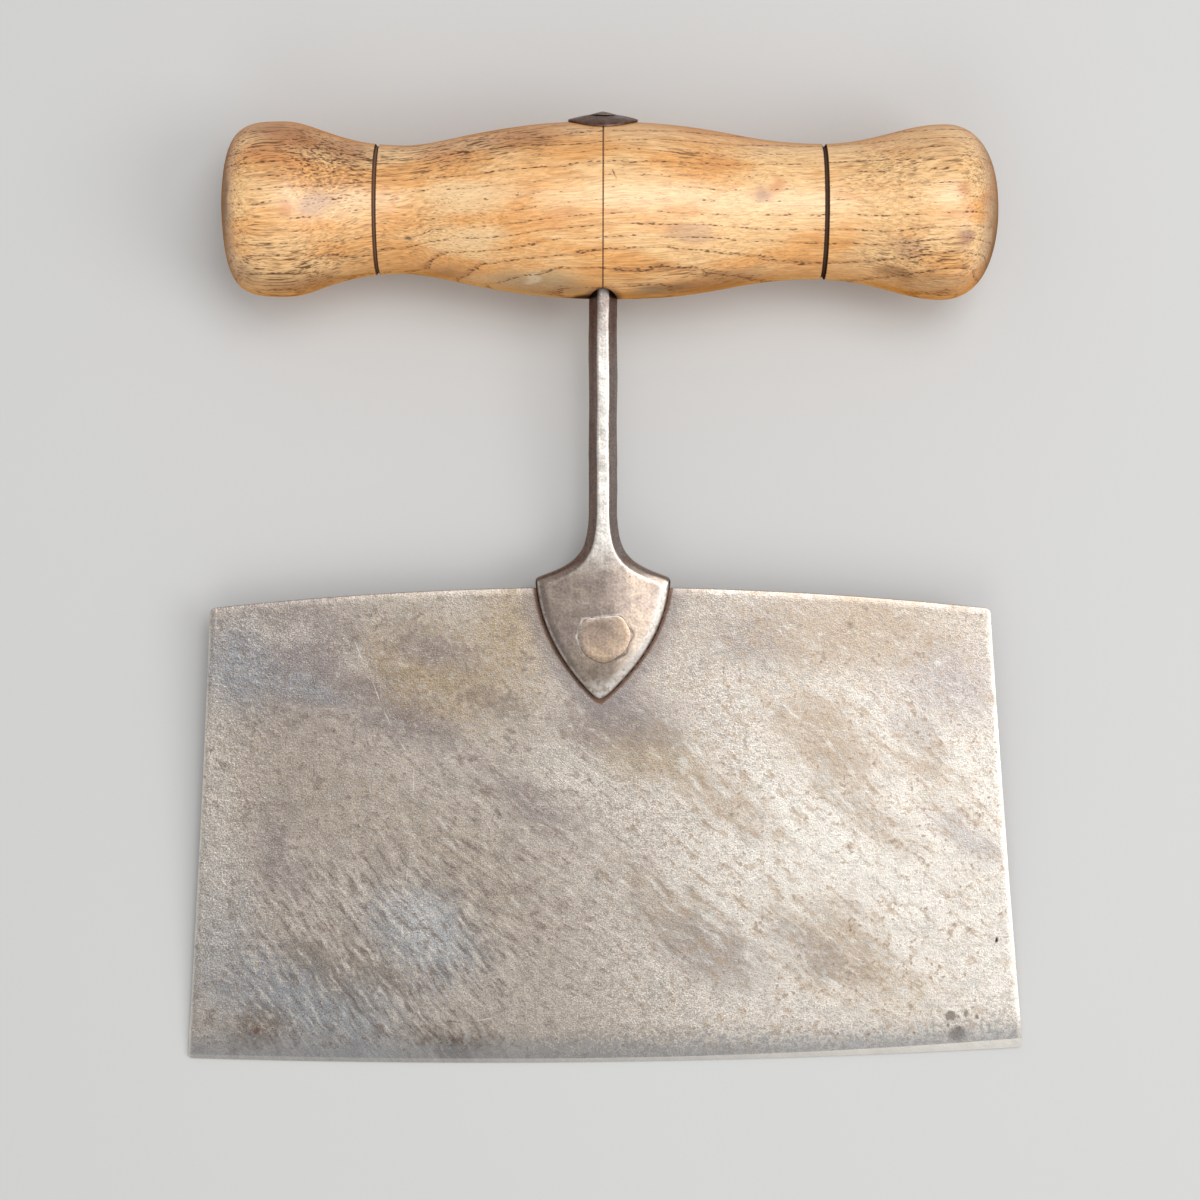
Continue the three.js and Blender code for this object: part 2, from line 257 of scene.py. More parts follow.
def pitted(add, colour, place, mottle, pits, tone):
    # small round rust pits, where the mottling is darkest
    cell = add("TexVoronoi", {"Vector": place, "Scale": 1 / pits["spacing"]})
    reach = add("MapRange", {"Value": mottle, "From Min": pits["from"], "From Max": pits["full"],
                             "To Max": pits["reach"]})
    inside = add("Math", {0: cell.outputs["Distance"], 1: reach}, operation="LESS_THAN")
    share = add("Math", {0: inside, 1: pits["share"]}, operation="MULTIPLY")
    return add("MixRGB", {"Fac": share, "Color1": colour, "Color2": tone})


# Waxed turned ash: ring-porous wood, so broken rows of small open pores run between pale bands of fine wavy
# fibre, and years of hands have left a honey gloss, wine-coloured stains and grime at the ends.
ash = {
    "tones": {
        "straw": "#fbce92", "honey": "#f0ae60", "amber": "#a9692e", "glaze": "#c47a2b", "grime": "#75573b",
        "pore": "#482b14", "fleck": "#66401d", "singe": "#5e3c29", "scorch": "#2b160c", "char": "#452a1a",
        "cinder": "#8d6a55", "wine": "#8f5349", "plum": "#b08878", "rust": "#d5863f", "olive": "#8f8163",
        "umber": "#50341e", "soot": "#7d5528", "bare": "#f6e4c0", "toast": "#a96424", "cream": "#fbd9a6",
    },
    "ringSpacing": 2.5,  # mm of growth a year
    "ringNormal": (0, 0.966, -0.259),  # the rings face up the tool, leaning 15 degrees back
    "ringSide": (0, 0.259, 0.966),
    "ringBow": 150.0,  # mm, twice the radius that the rings bend to
    "lift": 6.4,  # mm that the grain climbs over the left half, and where it starts and stops
    "liftFrom": -78.0,
    "liftTo": 14.0,
    "sway": 2.8,  # mm that the rings wander slowly, and how long, wide and deep a wander is
    "swaySize": (60, 16, 16),
    "waver": 0.7,  # the same for their quick wavering
    "waverSize": (11, 4, 4),
    "rowLength": 6.0,  # mm of a pore row before it breaks
    "poreCell": (1.15, 0.42, 0.42),  # mm from one big vessel to the next
    "fleckCell": (2.3, 0.33, 0.33),  # the fine flecks between the rows
    "toneSize": (24, 7, 9),  # mm of a paler or darker patch
    "crowded": [  # where the flecks stand thickest: middle and reach in mm, share, turn in degrees
        ((-60, 9, 13), (20, 10, 20), 1.0, 0),
        ((-48, 6, 12), (12, 12, 20), 0.9, 0),
        ((-24, 12, 12), (26, 6, 20), 1.0, 8),
        ((-56, -10, 12), (20, 8, 20), 0.9, 0),
        ((-34, -4, 14), (22, 9, 20), 0.55, 12),
        ((50, 7, 12), (14, 8, 20), 0.6, 0),
        ((60, -9, 12), (16, 7, 20), 0.6, 0),
        ((72, 6, 10), (8, 14, 20), 0.7, 0),
    ],
    "stroked": [  # where dark strokes run along the grain
        ((-62, 11.5, 10), (17, 8, 24), 1.0, -4),
        ((-50, 9.5, 10), (10, 7, 24), 0.9, -16),
        ((-20, 14, 9), (26, 7, 24), 1.0, 8),
        ((-36, 9.0, 10), (12, 5, 24), 0.8, 6),
        ((-60, -11.5, 10), (18, 7, 24), 0.9, 0),
        ((-66, -3, 12), (9, 6, 24), 0.6, 0),
        ((62, -9, 11), (18, 8, 24), 0.65, 0),
        ((62, 9, 11), (20, 7, 24), 0.6, 0),
        ((18, -13, 10), (22, 4, 24), 0.6, 0),
        ((16, 10, 12), (24, 5, 24), 0.45, 0),
    ],
    "stroke": (11.0, 0.46, 0.46),  # mm along and across a stroke
    "fibre": (4.0, 0.3, 0.3),  # the fine lines of the grain
    "fibreWarmth": (1.12, 0.96, 0.72, 1),  # tints the dark lines
    "knot": {"at": (-37.4, -4.8, 12.0), "reach": (5.0, 3.6, 7.0), "push": 1.8},
    "stains": [  # tone, middle and reach in mm, strength, turn in degrees
        # the soot rows darken both ends and the handle along its side toward the blade
        ("wine", (30.3, 2.9, 16.5), (4.6, 3.6, 14), 0.6, 0),
        ("rust", (33.0, 4.6, 16.0), (3.6, 3.2, 14), 0.7, 0),
        ("plum", (-54.0, 0.8, 16.5), (7.5, 4.2, 14), 0.55, 6),
        ("rust", (-60.0, 0.2, 16.5), (3.6, 3.2, 14), 0.65, 0),
        ("rust", (-57.5, 9.0, 14.5), (7.0, 5.0, 14), 0.45, 0),
        ("rust", (-38.4, 2.2, 15.0), (1.3, 2.2, 14), 0.6, 0),
        ("wine", (68.0, -5.6, 15.0), (3.2, 3.0, 14), 0.62, 0),
        ("rust", (68.0, 3.7, 15.0), (2.8, 2.2, 14), 0.7, 0),
        ("rust", (73.0, 2.0, 12.0), (2.6, 4.0, 14), 0.5, 0),
        ("wine", (57.5, -7.4, 15.0), (5.6, 3.2, 14), 0.34, 0),
        ("plum", (16.0, -5.0, 16.5), (9.0, 3.2, 14), 0.4, -8),
        ("rust", (22.0, 8.5, 15.0), (8.0, 3.4, 14), 0.4, 0),
        ("rust", (-8.0, -1.5, 16.5), (5.0, 4.0, 14), 0.4, 0),
        ("umber", (-37.6, -5.2, 13.0), (1.5, 1.1, 10), 0.8, 0),
        ("olive", (11.0, -15.4, 8.0), (13.0, 2.6, 14), 0.85, 6),
        ("olive", (-12.0, -14.6, 9.0), (22.0, 5.0, 14), 0.6, -4),
        ("soot", (-30.0, -12.2, 8.0), (10.0, 3.2, 14), 0.5, 0),
        ("bare", (-13.5, -13.2, 9.5), (4.0, 1.4, 10), 0.5, 24),
        ("toast", (-16.0, 13.4, 10.0), (18.0, 5.0, 14), 0.5, 6),
        ("cream", (-25.0, 2.0, 15.0), (18.0, 7.0, 14), 0.5, 6),
        ("cream", (-24.0, -6.0, 15.0), (16.0, 5.0, 14), 0.4, 6),
        ("rust", (-30.0, 11.0, 10.0), (12.0, 4.0, 14), 0.5, 8),
        ("toast", (-60.0, 14.0, 8.0), (17.0, 6.5, 14), 0.85, -6),
        ("toast", (-49.0, 11.0, 9.0), (9.0, 5.0, 14), 0.7, -14),
        ("rust", (-63.0, 10.5, 12.0), (10.0, 5.6, 14), 0.75, 0),
        ("soot", (-71.8, 2.0, 9.0), (2.6, 15.0, 20), 0.8, 0),
        ("soot", (-68.0, -12.0, 9.0), (5.0, 5.0, 14), 0.45, 40),
        ("toast", (62.0, 11.5, 11.0), (13.0, 4.4, 14), 0.2, 0),
        ("soot", (74.5, -3.0, 6.0), (2.2, 13.0, 20), 0.55, 0),
        ("soot", (56.0, -12.4, 9.0), (7.0, 2.8, 14), 0.6, -16),
        ("umber", (2.2, 6.6, 15.5), (0.4, 1.7, 14), 0.8, 0),
        ("soot", (21.0, -14.2, 8.0), (24.0, 4.4, 14), 0.6, 6),
        ("soot", (-56.0, -14.2, 8.0), (18.0, 5.0, 14), 0.6, 0),
        ("soot", (62.0, -14.0, 8.0), (16.0, 4.0, 14), 0.35, 0),
    ],
    "seat": [  # the scorch round the shank
        ("singe", (0.0, -16.4, 3.0), (4.6, 3.0, 8.6), 0.95, 0),
        ("scorch", (-3.2, -17.0, 2.0), (4.0, 1.3, 8.0), 0.9, 0),
    ],
}


def waxedAsh():
    finish, surface, add = newFinish("waxed turned ash")
    tones = linearTones(ash["tones"])
    place = benchPlace(add, (0, bench["reach"], 0))
    along = add("SeparateXYZ", {"Vector": place}).outputs["X"]
    lift = add("MapRange", {"Value": along, "From Min": ash["liftFrom"], "From Max": ash["liftTo"],
                            "To Max": ash["lift"]}, interpolation_type="SMOOTHSTEP")
    across = add("VectorMath", {0: place, 1: ash["ringNormal"]}, operation="DOT_PRODUCT").outputs["Value"]
    aside = add("VectorMath", {0: place, 1: ash["ringSide"]}, operation="DOT_PRODUCT").outputs["Value"]
    slowPlace = add("Mapping", {"Vector": place, "Scale": ash["swaySize"]}, vector_type="TEXTURE")
    slow = add("TexNoise", {"Vector": slowPlace, "Scale": 1.0, "Detail": 2.0})
    sway = add("MapRange", {"Value": slow, "To Min": -ash["sway"], "To Max": ash["sway"]})
    quickPlace = add("Mapping", {"Vector": place, "Scale": ash["waverSize"]}, vector_type="TEXTURE")
    quick = add("TexNoise", {"Vector": quickPlace, "Scale": 1.0, "Detail": 3.0})
    waver = add("MapRange", {"Value": quick, "To Min": -ash["waver"], "To Max": ash["waver"]})
    knot = roundBlot(add, place, ash["knot"]["at"], ash["knot"]["reach"])
    climbed = add("Math", {0: across, 1: lift}, operation="SUBTRACT")
    swayed = add("Math", {0: climbed, 1: sway}, operation="ADD")
    wavered = add("Math", {0: swayed, 1: waver}, operation="ADD")
    growth = add("Math", {0: knot, 1: ash["knot"]["push"], 2: wavered}, operation="MULTIPLY_ADD")
    bowed = add("Math", {0: aside, 1: aside}, operation="MULTIPLY")
    ringPlace = add("Math", {0: bowed, 1: 1 / ash["ringBow"], 2: growth}, operation="MULTIPLY_ADD")
    year = add("Math", {0: ringPlace, 1: ash["ringSpacing"]}, operation="DIVIDE")
    season = add("Math", {0: year}, operation="FRACT")
    early = add("MapRange", {"Value": season, "From Min": 0.06, "From Max": 0.24, "To Min": 1.0,
                             "To Max": 0.0}, interpolation_type="SMOOTHSTEP")
    # some years left a strong row and some hardly any, and no row runs unbroken
    ringCount = add("Math", {0: year}, operation="FLOOR")
    vigour = add("TexWhiteNoise", {"W": ringCount}, noise_dimensions="1D").outputs["Value"]
    rowAlong = add("Math", {0: along, 1: ash["rowLength"]}, operation="DIVIDE")
    rowPlace = add("CombineXYZ", {"X": rowAlong, "Y": ringCount})
    rowNoise = add("TexNoise", {"Vector": rowPlace, "Scale": 1.0, "Detail": 3.0})
    rowMerit = add("Math", {0: vigour, 1: 0.3, 2: rowNoise}, operation="MULTIPLY_ADD")
    row = add("MapRange", {"Value": rowMerit, "From Min": 0.4, "From Max": 0.68},
              interpolation_type="SMOOTHSTEP")
    earlyRow = add("Math", {0: early, 1: row}, operation="MULTIPLY")

    # pores are short thin vessels that follow the grain: big ones in the rows, fine flecks crowded in places
    vesselPlace = add("CombineXYZ", {"X": along, "Y": ringPlace, "Z": aside})
    crowd = zoneSum(add, place, ash["crowded"])
    poreMasks = []
    for cell, driver, least, most in ((ash["poreCell"], earlyRow, 0.05, 0.6),
                                      (ash["fleckCell"], crowd, 0.2, 0.52)):
        cellPlace = add("Mapping", {"Vector": vesselPlace, "Scale": cell}, vector_type="TEXTURE")
        vessel = add("TexVoronoi", {"Vector": cellPlace, "Scale": 1.0})
        reach = add("MapRange", {"Value": driver, "To Min": least, "To Max": most})
        core = add("Math", {0: reach, 1: 0.5}, operation="MULTIPLY")
        mask = add("MapRange", {"Value": vessel.outputs["Distance"], "From Min": reach, "From Max": core},
                   interpolation_type="SMOOTHSTEP")
        poreMasks.append(mask)
    pores, flecks = poreMasks

    fibrePlace = add("Mapping", {"Vector": vesselPlace, "Scale": ash["fibre"]}, vector_type="TEXTURE")
    fibre = add("TexNoise", {"Vector": fibrePlace, "Scale": 1.0, "Detail": 3.0, "Roughness": 0.6,
                             "Distortion": 0.5})
    fibreDepth = add("MapRange", {"Value": crowd, "To Min": 0.62, "To Max": 0.42})
    fibreShade = add("MapRange", {"Value": fibre, "From Min": 0.3, "From Max": 0.66,
                                  "To Min": fibreDepth, "To Max": 1.2})
    tonePlace = add("Mapping", {"Vector": place, "Scale": ash["toneSize"]}, vector_type="TEXTURE")
    tone = add("TexNoise", {"Vector": tonePlace, "Scale": 1.0, "Detail": 4.0})
    toneShare = add("MapRange", {"Value": tone, "From Min": 0.4, "From Max": 0.62},
                    interpolation_type="SMOOTHSTEP")
    colour = add("MixRGB", {"Fac": toneShare, "Color1": tones["straw"], "Color2": tones["honey"]})
    leftward = add("MapRange", {"Value": along, "From Min": 10.0, "From Max": -70.0, "To Max": 0.12})
    colour = add("MixRGB", {"Fac": leftward, "Color1": colour, "Color2": tones["honey"]})
    # dirt settles in the early wood more in some places than in others
    dirt = add("MapRange", {"Value": tone, "From Min": 0.35, "From Max": 0.65, "To Min": 0.2, "To Max": 0.5})
    earlyShare = add("Math", {0: earlyRow, 1: dirt}, operation="MULTIPLY")
    colour = add("MixRGB", {"Fac": earlyShare, "Color1": colour, "Color2": tones["amber"]})
    # the dark lines are warmer than the light ones
    warmth = add("MapRange", {"Value": fibre, "From Min": 0.3, "From Max": 0.6})
    fibreTint = add("MixRGB", {"Fac": warmth, "Color1": ash["fibreWarmth"], "Color2": (1, 1, 1, 1)})
    for shade in (fibreShade, fibreTint):
        colour = add("MixRGB", {"Fac": 1.0, "Color1": colour, "Color2": shade}, blend_type="MULTIPLY")

    # stains follow the grain a little, so their rims are ragged
    raggedShift = add("VectorMath", {0: quick.outputs["Color"], 1: (0.5, 0.5, 0.5)}, operation="SUBTRACT")
    raggedPlace = add("VectorMath", {0: raggedShift, 1: (6, 5, 0), 2: place}, operation="MULTIPLY_ADD")
    ragged = add("MapRange", {"Value": fibre, "To Min": -0.3, "To Max": 0.3})
    colour = softPatches(add, raggedPlace, colour, ash["stains"], tones, ragged, start=0.3)
    strokePlace = add("Mapping", {"Vector": vesselPlace, "Scale": ash["stroke"]}, vector_type="TEXTURE")
    stroke = add("TexNoise", {"Vector": strokePlace, "Scale": 1.0, "Detail": 3.0, "Roughness": 0.6})
    strokeZone = zoneSum(add, place, ash["stroked"])
    strokeDepth = add("MapRange", {"Value": strokeZone, "From Max": 0.6, "To Min": 0.1, "To Max": 0.92})
    strokeMask = add("MapRange", {"Value": stroke, "From Min": 0.54, "From Max": 0.6},
                     interpolation_type="SMOOTHSTEP")
    strokeShare = add("Math", {0: strokeMask, 1: strokeDepth}, operation="MULTIPLY")
    colour = add("MixRGB", {"Fac": strokeShare, "Color1": colour, "Color2": tones["fleck"]})
    fleckShare = add("Math", {0: flecks, 1: 0.6}, operation="MULTIPLY")
    colour = add("MixRGB", {"Fac": fleckShare, "Color1": colour, "Color2": tones["fleck"]})
    poreShare = add("Math", {0: pores, 1: 0.8}, operation="MULTIPLY")
    colour = add("MixRGB", {"Fac": poreShare, "Color1": colour, "Color2": tones["pore"]})

    # painted shade on the flanks, darker where the wood turns away from the top, with its wax and shine
    # dulled there, and grime in the end grain, then the burnt rings, the scribed middle line and the
    # scorched seat of the shank
    facing = add("SeparateXYZ", {"Vector": add("NewGeometry", {}).outputs["Normal"]})
    flank = add("MapRange", {"Value": facing.outputs["Z"], "From Min": 0.68, "From Max": 0.16},
                interpolation_type="SMOOTHSTEP")
    flankDepth = add("MapRange", {"Value": facing.outputs["Y"], "From Min": -0.5, "From Max": 0.5,
                                  "To Min": 0.4, "To Max": 0.7})
    flankShare = add("Math", {0: flank, 1: flankDepth}, operation="MULTIPLY")
    colour = add("MixRGB", {"Fac": flankShare, "Color1": colour, "Color2": tones["glaze"]})
    endFace = add("Math", {0: facing.outputs["X"]}, operation="ABSOLUTE")
    endShare = add("MapRange", {"Value": endFace, "From Min": 0.5, "From Max": 0.97, "To Max": 0.75},
                   interpolation_type="SMOOTHSTEP")
    grimeShare = add("Math", {0: endShare, 1: slow}, operation="MULTIPLY")
    grimeShare = add("Math", {0: grimeShare, 1: 1.6}, operation="MULTIPLY", use_clamp=True)
    colour = add("MixRGB", {"Fac": grimeShare, "Color1": colour, "Color2": tones["grime"]})
    for line in handle["grooves"]:
        gap = add("Math", {0: along, 1: line["at"]}, operation="SUBTRACT")
        gap = add("Math", {0: gap}, operation="ABSOLUTE")
        uneven = add("MapRange", {"Value": fibre, "To Min": -0.1, "To Max": 0.1})
        gap = add("Math", {0: gap, 1: uneven}, operation="ADD")
        width = line["width"]
        burnt = add("MapRange", {"Value": gap, "From Min": width * 0.62, "From Max": width * 0.34,
                                 "To Max": line["burn"]}, interpolation_type="SMOOTHSTEP")
        colour = add("MixRGB", {"Fac": burnt, "Color1": colour, "Color2": tones[line["tone"]]})
        # the bottom of a groove is painted lighter: partly worn, partly a painted highlight
        bottom = add("MapRange", {"Value": gap, "From Min": width * 0.3, "From Max": width * 0.08,
                                  "To Max": line["rubbed"]})
        colour = add("MixRGB", {"Fac": bottom, "Color1": colour, "Color2": tones["cinder"]})
    colour = softPatches(add, place, colour, ash["seat"], tones)

    # the wax shines on sound wood and is dull where it is open or burnt
    sound = add("RGBToBW", {"Color": colour})
    rough = add("MapRange", {"Value": sound, "From Min": 0.05, "From Max": 0.3, "To Min": 0.85,
                             "To Max": 0.45})
    wax = add("MapRange", {"Value": sound, "From Min": 0.05, "From Max": 0.3, "To Max": 0.95})
    dulled = add("MapRange", {"Value": flank, "To Min": 1.0, "To Max": 0.05})
    wax = add("Math", {0: wax, 1: dulled}, operation="MULTIPLY")
    relief = add("MixRGB", {"Fac": poreShare, "Color1": fibreShade, "Color2": (0, 0, 0, 1)})
    bump = add("Bump", {"Height": relief, "Strength": 0.3, "Distance": 0.00025})
    gloss = add("MapRange", {"Value": flank, "To Min": 0.5, "To Max": 0.0})
    wire(surface, {"Base Color": colour, "Roughness": rough, "Normal": bump, "IOR": 1.5,
                   "Specular IOR Level": gloss, "Coat Weight": wax, "Coat Roughness": 0.38, "Coat IOR": 1.7})
    return finish


# Worn carbon steel: rolled plate with years of straw, plum and slate patina, rubbed bright at the right
# side, pitted by rust and crossed by diagonal smears from wiping and a few scratches.
steel = {
    "base": "#c1b6ab",
    "tones": {
        "plum": "#8c8283", "slate": "#9ea2a7", "straw": "#ad9776", "umber": "#6b5a4b", "taupe": "#83776f",
        "bright": "#f6eee4", "tan": "#a08f7c", "pale": "#ddd6cc", "pit": "#453a33", "lilac": "#a39a9f",
        "frost": "#cbcac9", "fawn": "#bda994", "gold": "#bda27a", "rust": "#6d4527", "worn": "#f4efe6",
    },
    "patches": [  # rows like those of the wood's stains, in the order that they are laid
        ("bright", (60, 36, 0), (98, 90, 90), 0.9, 0, 0.6),
        ("plum", (-60, 80, 0), (40, 26, 90), 0.75, -10),
        ("slate", (-72, 78, 0), (17, 17, 90), 0.75, 0),
        ("plum", (-38, 69, 0), (24, 9, 90), 0.8, -34),
        ("plum", (-14, 52, 0), (22, 8, 90), 0.55, -32),
        ("straw", (-17, 86, 0), (14, 18, 90), 0.65, 0),
        ("straw", (-32, 78, 0), (30, 18, 90), 0.75, -24),
        ("plum", (-33, 83, 0), (16, 6, 90), 0.6, -20),
        ("taupe", (-22, 72, 0), (14, 5, 90), 0.5, -30),
        ("tan", (-58, 56, 0), (36, 26, 90), 0.32, -30),
        ("pale", (-64, 86, 0), (14, 4, 90), 0.4, -6),
        ("slate", (-58, 75, 0), (13, 5, 90), 0.55, -25),
        ("pale", (-49, 80, 0), (10, 4, 90), 0.35, -30),
        ("tan", (-24, 36, 0), (40, 22, 90), 0.4, -36),
        ("slate", (-35, 26, 0), (24, 16, 90), 0.9, -35),
        ("frost", (-36, 28, 0), (15, 9, 90), 0.75, -38),
        ("frost", (-52, 10, 0), (16, 6, 90), 0.5, -25),
        ("slate", (-58, 12, 0), (38, 17, 90), 0.9, -12),
        ("slate", (-76, 25, 0), (16, 34, 90), 0.5, 0),
        ("umber", (-29, 4, 0), (15, 7, 90), 0.75, 0),
        ("umber", (-68, 6, 0), (12, 8, 90), 0.6, 0),
        ("umber", (-55, 19, 0), (22, 7, 90), 0.42, -42),
        ("pale", (-78, 48, 0), (10, 50, 90), 0.45, 0),
        ("plum", (-64, 42, 0), (9, 24, 90), 0.45, 10),
        ("umber", (-46, 20, 0), (20, 4.5, 90), 0.45, -44),
        ("fawn", (44, 64, 0), (24, 13, 90), 0.8, -42),
        ("plum", (30, 84, 0), (16, 10, 90), 0.4, 0),
        ("lilac", (68, 76, 0), (22, 15, 90), 0.5, -20),
        ("plum", (62, 66, 0), (12, 5, 90), 0.35, -35),
        ("lilac", (72, 46, 0), (16, 6, 90), 0.45, -38),
        ("straw", (8, 62, 0), (26, 12, 90), 0.6, -26),
        ("plum", (3, 68, 0), (20, 11, 90), 0.7, 0),
        ("fawn", (50, 86, 0), (34, 15, 90), 0.75, 0),
        ("pale", (-5, 57, 0), (17, 10, 90), 0.6, -30),
        ("fawn", (54, 48, 0), (20, 8, 90), 0.6, -42),
        ("fawn", (64, 58, 0), (18, 8, 90), 0.5, -38),
        ("fawn", (26, 52, 0), (20, 7, 90), 0.6, -30),
        ("tan", (14, 30, 0), (32, 11, 90), 0.5, -40),
        ("plum", (22, 22, 0), (24, 10, 90), 0.4, -30),
        ("fawn", (46, 26, 0), (26, 11, 90), 0.65, -30),
        ("gold", (50, 18, 0), (28, 12, 90), 0.34, -20),
        ("plum", (42, 22, 0), (22, 7, 90), 0.4, -28),
        ("worn", (79, 20, 0), (10, 30, 90), 0.55, -5),
        ("worn", (40, 48, 0), (24, 8, 90), 0.6, -42),
        ("worn", (57, 36, 0), (24, 8, 90), 0.7, -45),
        ("worn", (34, 38, 0), (24, 5, 90), 0.5, -42),
    ],
    "spots": [
        ("taupe", (69.0, 9.4, 0), (2.2, 1.7, 9), 0.8, 0, 0.3),
        ("umber", (70.6, 5.8, 0), (3.4, 3.1, 9), 0.75, 0, 0.4),
        ("umber", (72.1, 10.0, 0), (1.0, 1.8, 9), 0.7, 0),
        ("umber", (74.2, 9.4, 0), (0.8, 1.0, 9), 0.7, 0),
        ("umber", (68.6, 7.6, 0), (0.6, 0.8, 9), 0.7, 0),
        ("pit", (78.0, 24.8, 0), (0.8, 1.2, 9), 1.0, 0),
        ("umber", (31.0, 55.5, 0), (1.0, 0.9, 9), 0.5, 0),
        ("umber", (48.5, 87.6, 0), (1.6, 0.9, 9), 0.5, -40),
        ("umber", (25.3, 50.0, 0), (1.5, 0.8, 9), 0.5, -30),
        ("rust", (-68.6, 6.5, 0), (1.8, 1.5, 9), 0.55, 0),
        ("umber", (-29.2, 4.2, 0), (2.2, 1.4, 9), 0.7, 0),
    ],
    "scratches": [  # two ends in bench millimetres, and the tone that a scratch shows
        ((-49.2, 85.2), (-46.6, 79.0), "worn"),
        ((-45.6, 77.0), (-43.6, 71.6), "worn"),
        ((-43.6, 71.6), (-41.6, 67.6), "worn"),
        ((-40.4, 65.6), (-37.4, 60.0), "worn"),
        ((-37.4, 60.0), (-37.7, 52.5), "worn"),
        ((-38.6, 40.0), (-38.9, 35.0), "worn"),
        ((-39.7, 28.9), (-39.9, 24.5), "worn"),
        ((-32.6, 8.6), (-27.0, 8.2), "pit"),
        ((-27.0, 8.2), (-20.4, 9.2), "worn"),
        ((-3.0, 57.2), (-1.6, 55.2), "pit"),
        ((-1.6, 55.2), (0.4, 57.0), "pit"),
        ((0.4, 57.0), (1.4, 55.4), "pit"),
        ((78.4, 25.1), (81.6, 25.7), "pit"),
    ],
    # mm that a scratch runs past its ends, half its width, and how deep it shows
    "scratch": {"past": 0.3, "half": 0.2, "depth": 9},
    # the wiping smears: their lean in degrees, mm along and across one, and where they are strong
    "wipes": [
        {"lean": -37, "size": (7.0, 1.1, 9), "at": (-6, 38, 0), "reach": (58, 40, 90),
         "least": 0.12, "most": 1.0},
        {"lean": -54, "size": (6.0, 1.0, 9), "at": (-46, 20, 0), "reach": (40, 34, 90),
         "least": 0.06, "most": 1.3},
        {"lean": -43, "size": (8.0, 2.0, 9), "at": (46, 42, 0), "reach": (60, 60, 90),
         "least": 0.1, "most": 1.1},
    ],
    # stains, wear and painted shadow that keep to an outline: the mm off it where they fade in and where
    # they are full, and the noise that makes their rims ragged, with its spread and the mm that it swings
    # them
    "outlined": [
        # plum stain and the palm's painted shadow
        {"gap": "palmGap", "fade": 5.0, "full": 0.5, "noise": "mottle", "spread": (0, 1), "swing": 1.6,
         "share": 0.6, "tone": "plum"},
        # rust and painted contact shadow at the palm's outline
        {"gap": "palmGap", "fade": 0.85, "full": 0.3, "noise": "speckle", "spread": (0, 1), "swing": 0.3,
         "share": 0.85, "tone": "rust"},
        {"gap": "edgeGap", "fade": 7.0, "full": 1.5, "noise": "specks", "spread": (0.2, 0.8), "swing": 3.0,
         "share": 0.52, "tone": "slate"},
        {"gap": "rimGap", "fade": 0.9, "full": 0.2, "noise": "mottle", "spread": (0, 1), "swing": 0.6,
         "share": 0.55, "tone": "worn"},
    ],
    "pits": {"spacing": 1.6, "from": 0.54, "full": 0.72, "reach": 0.22, "share": 0.45},
    # mm of its marks, from the widest to the finest
    "drift": 10.0,  # how the stains wander
    "mottle": 4.2,
    "blotch": 2.4,
    "speckle": 1.1,  # the tarnish specks
    "hue": 0.8,
    "grain": 0.29,  # the etched grit of the surface
    # the cutting bevel is honed bright and carries a painted reflection, stronger at the right
    "bevelWear": (0.25, 0.95),  # how bright the cutting bevel is at the left and the right
}


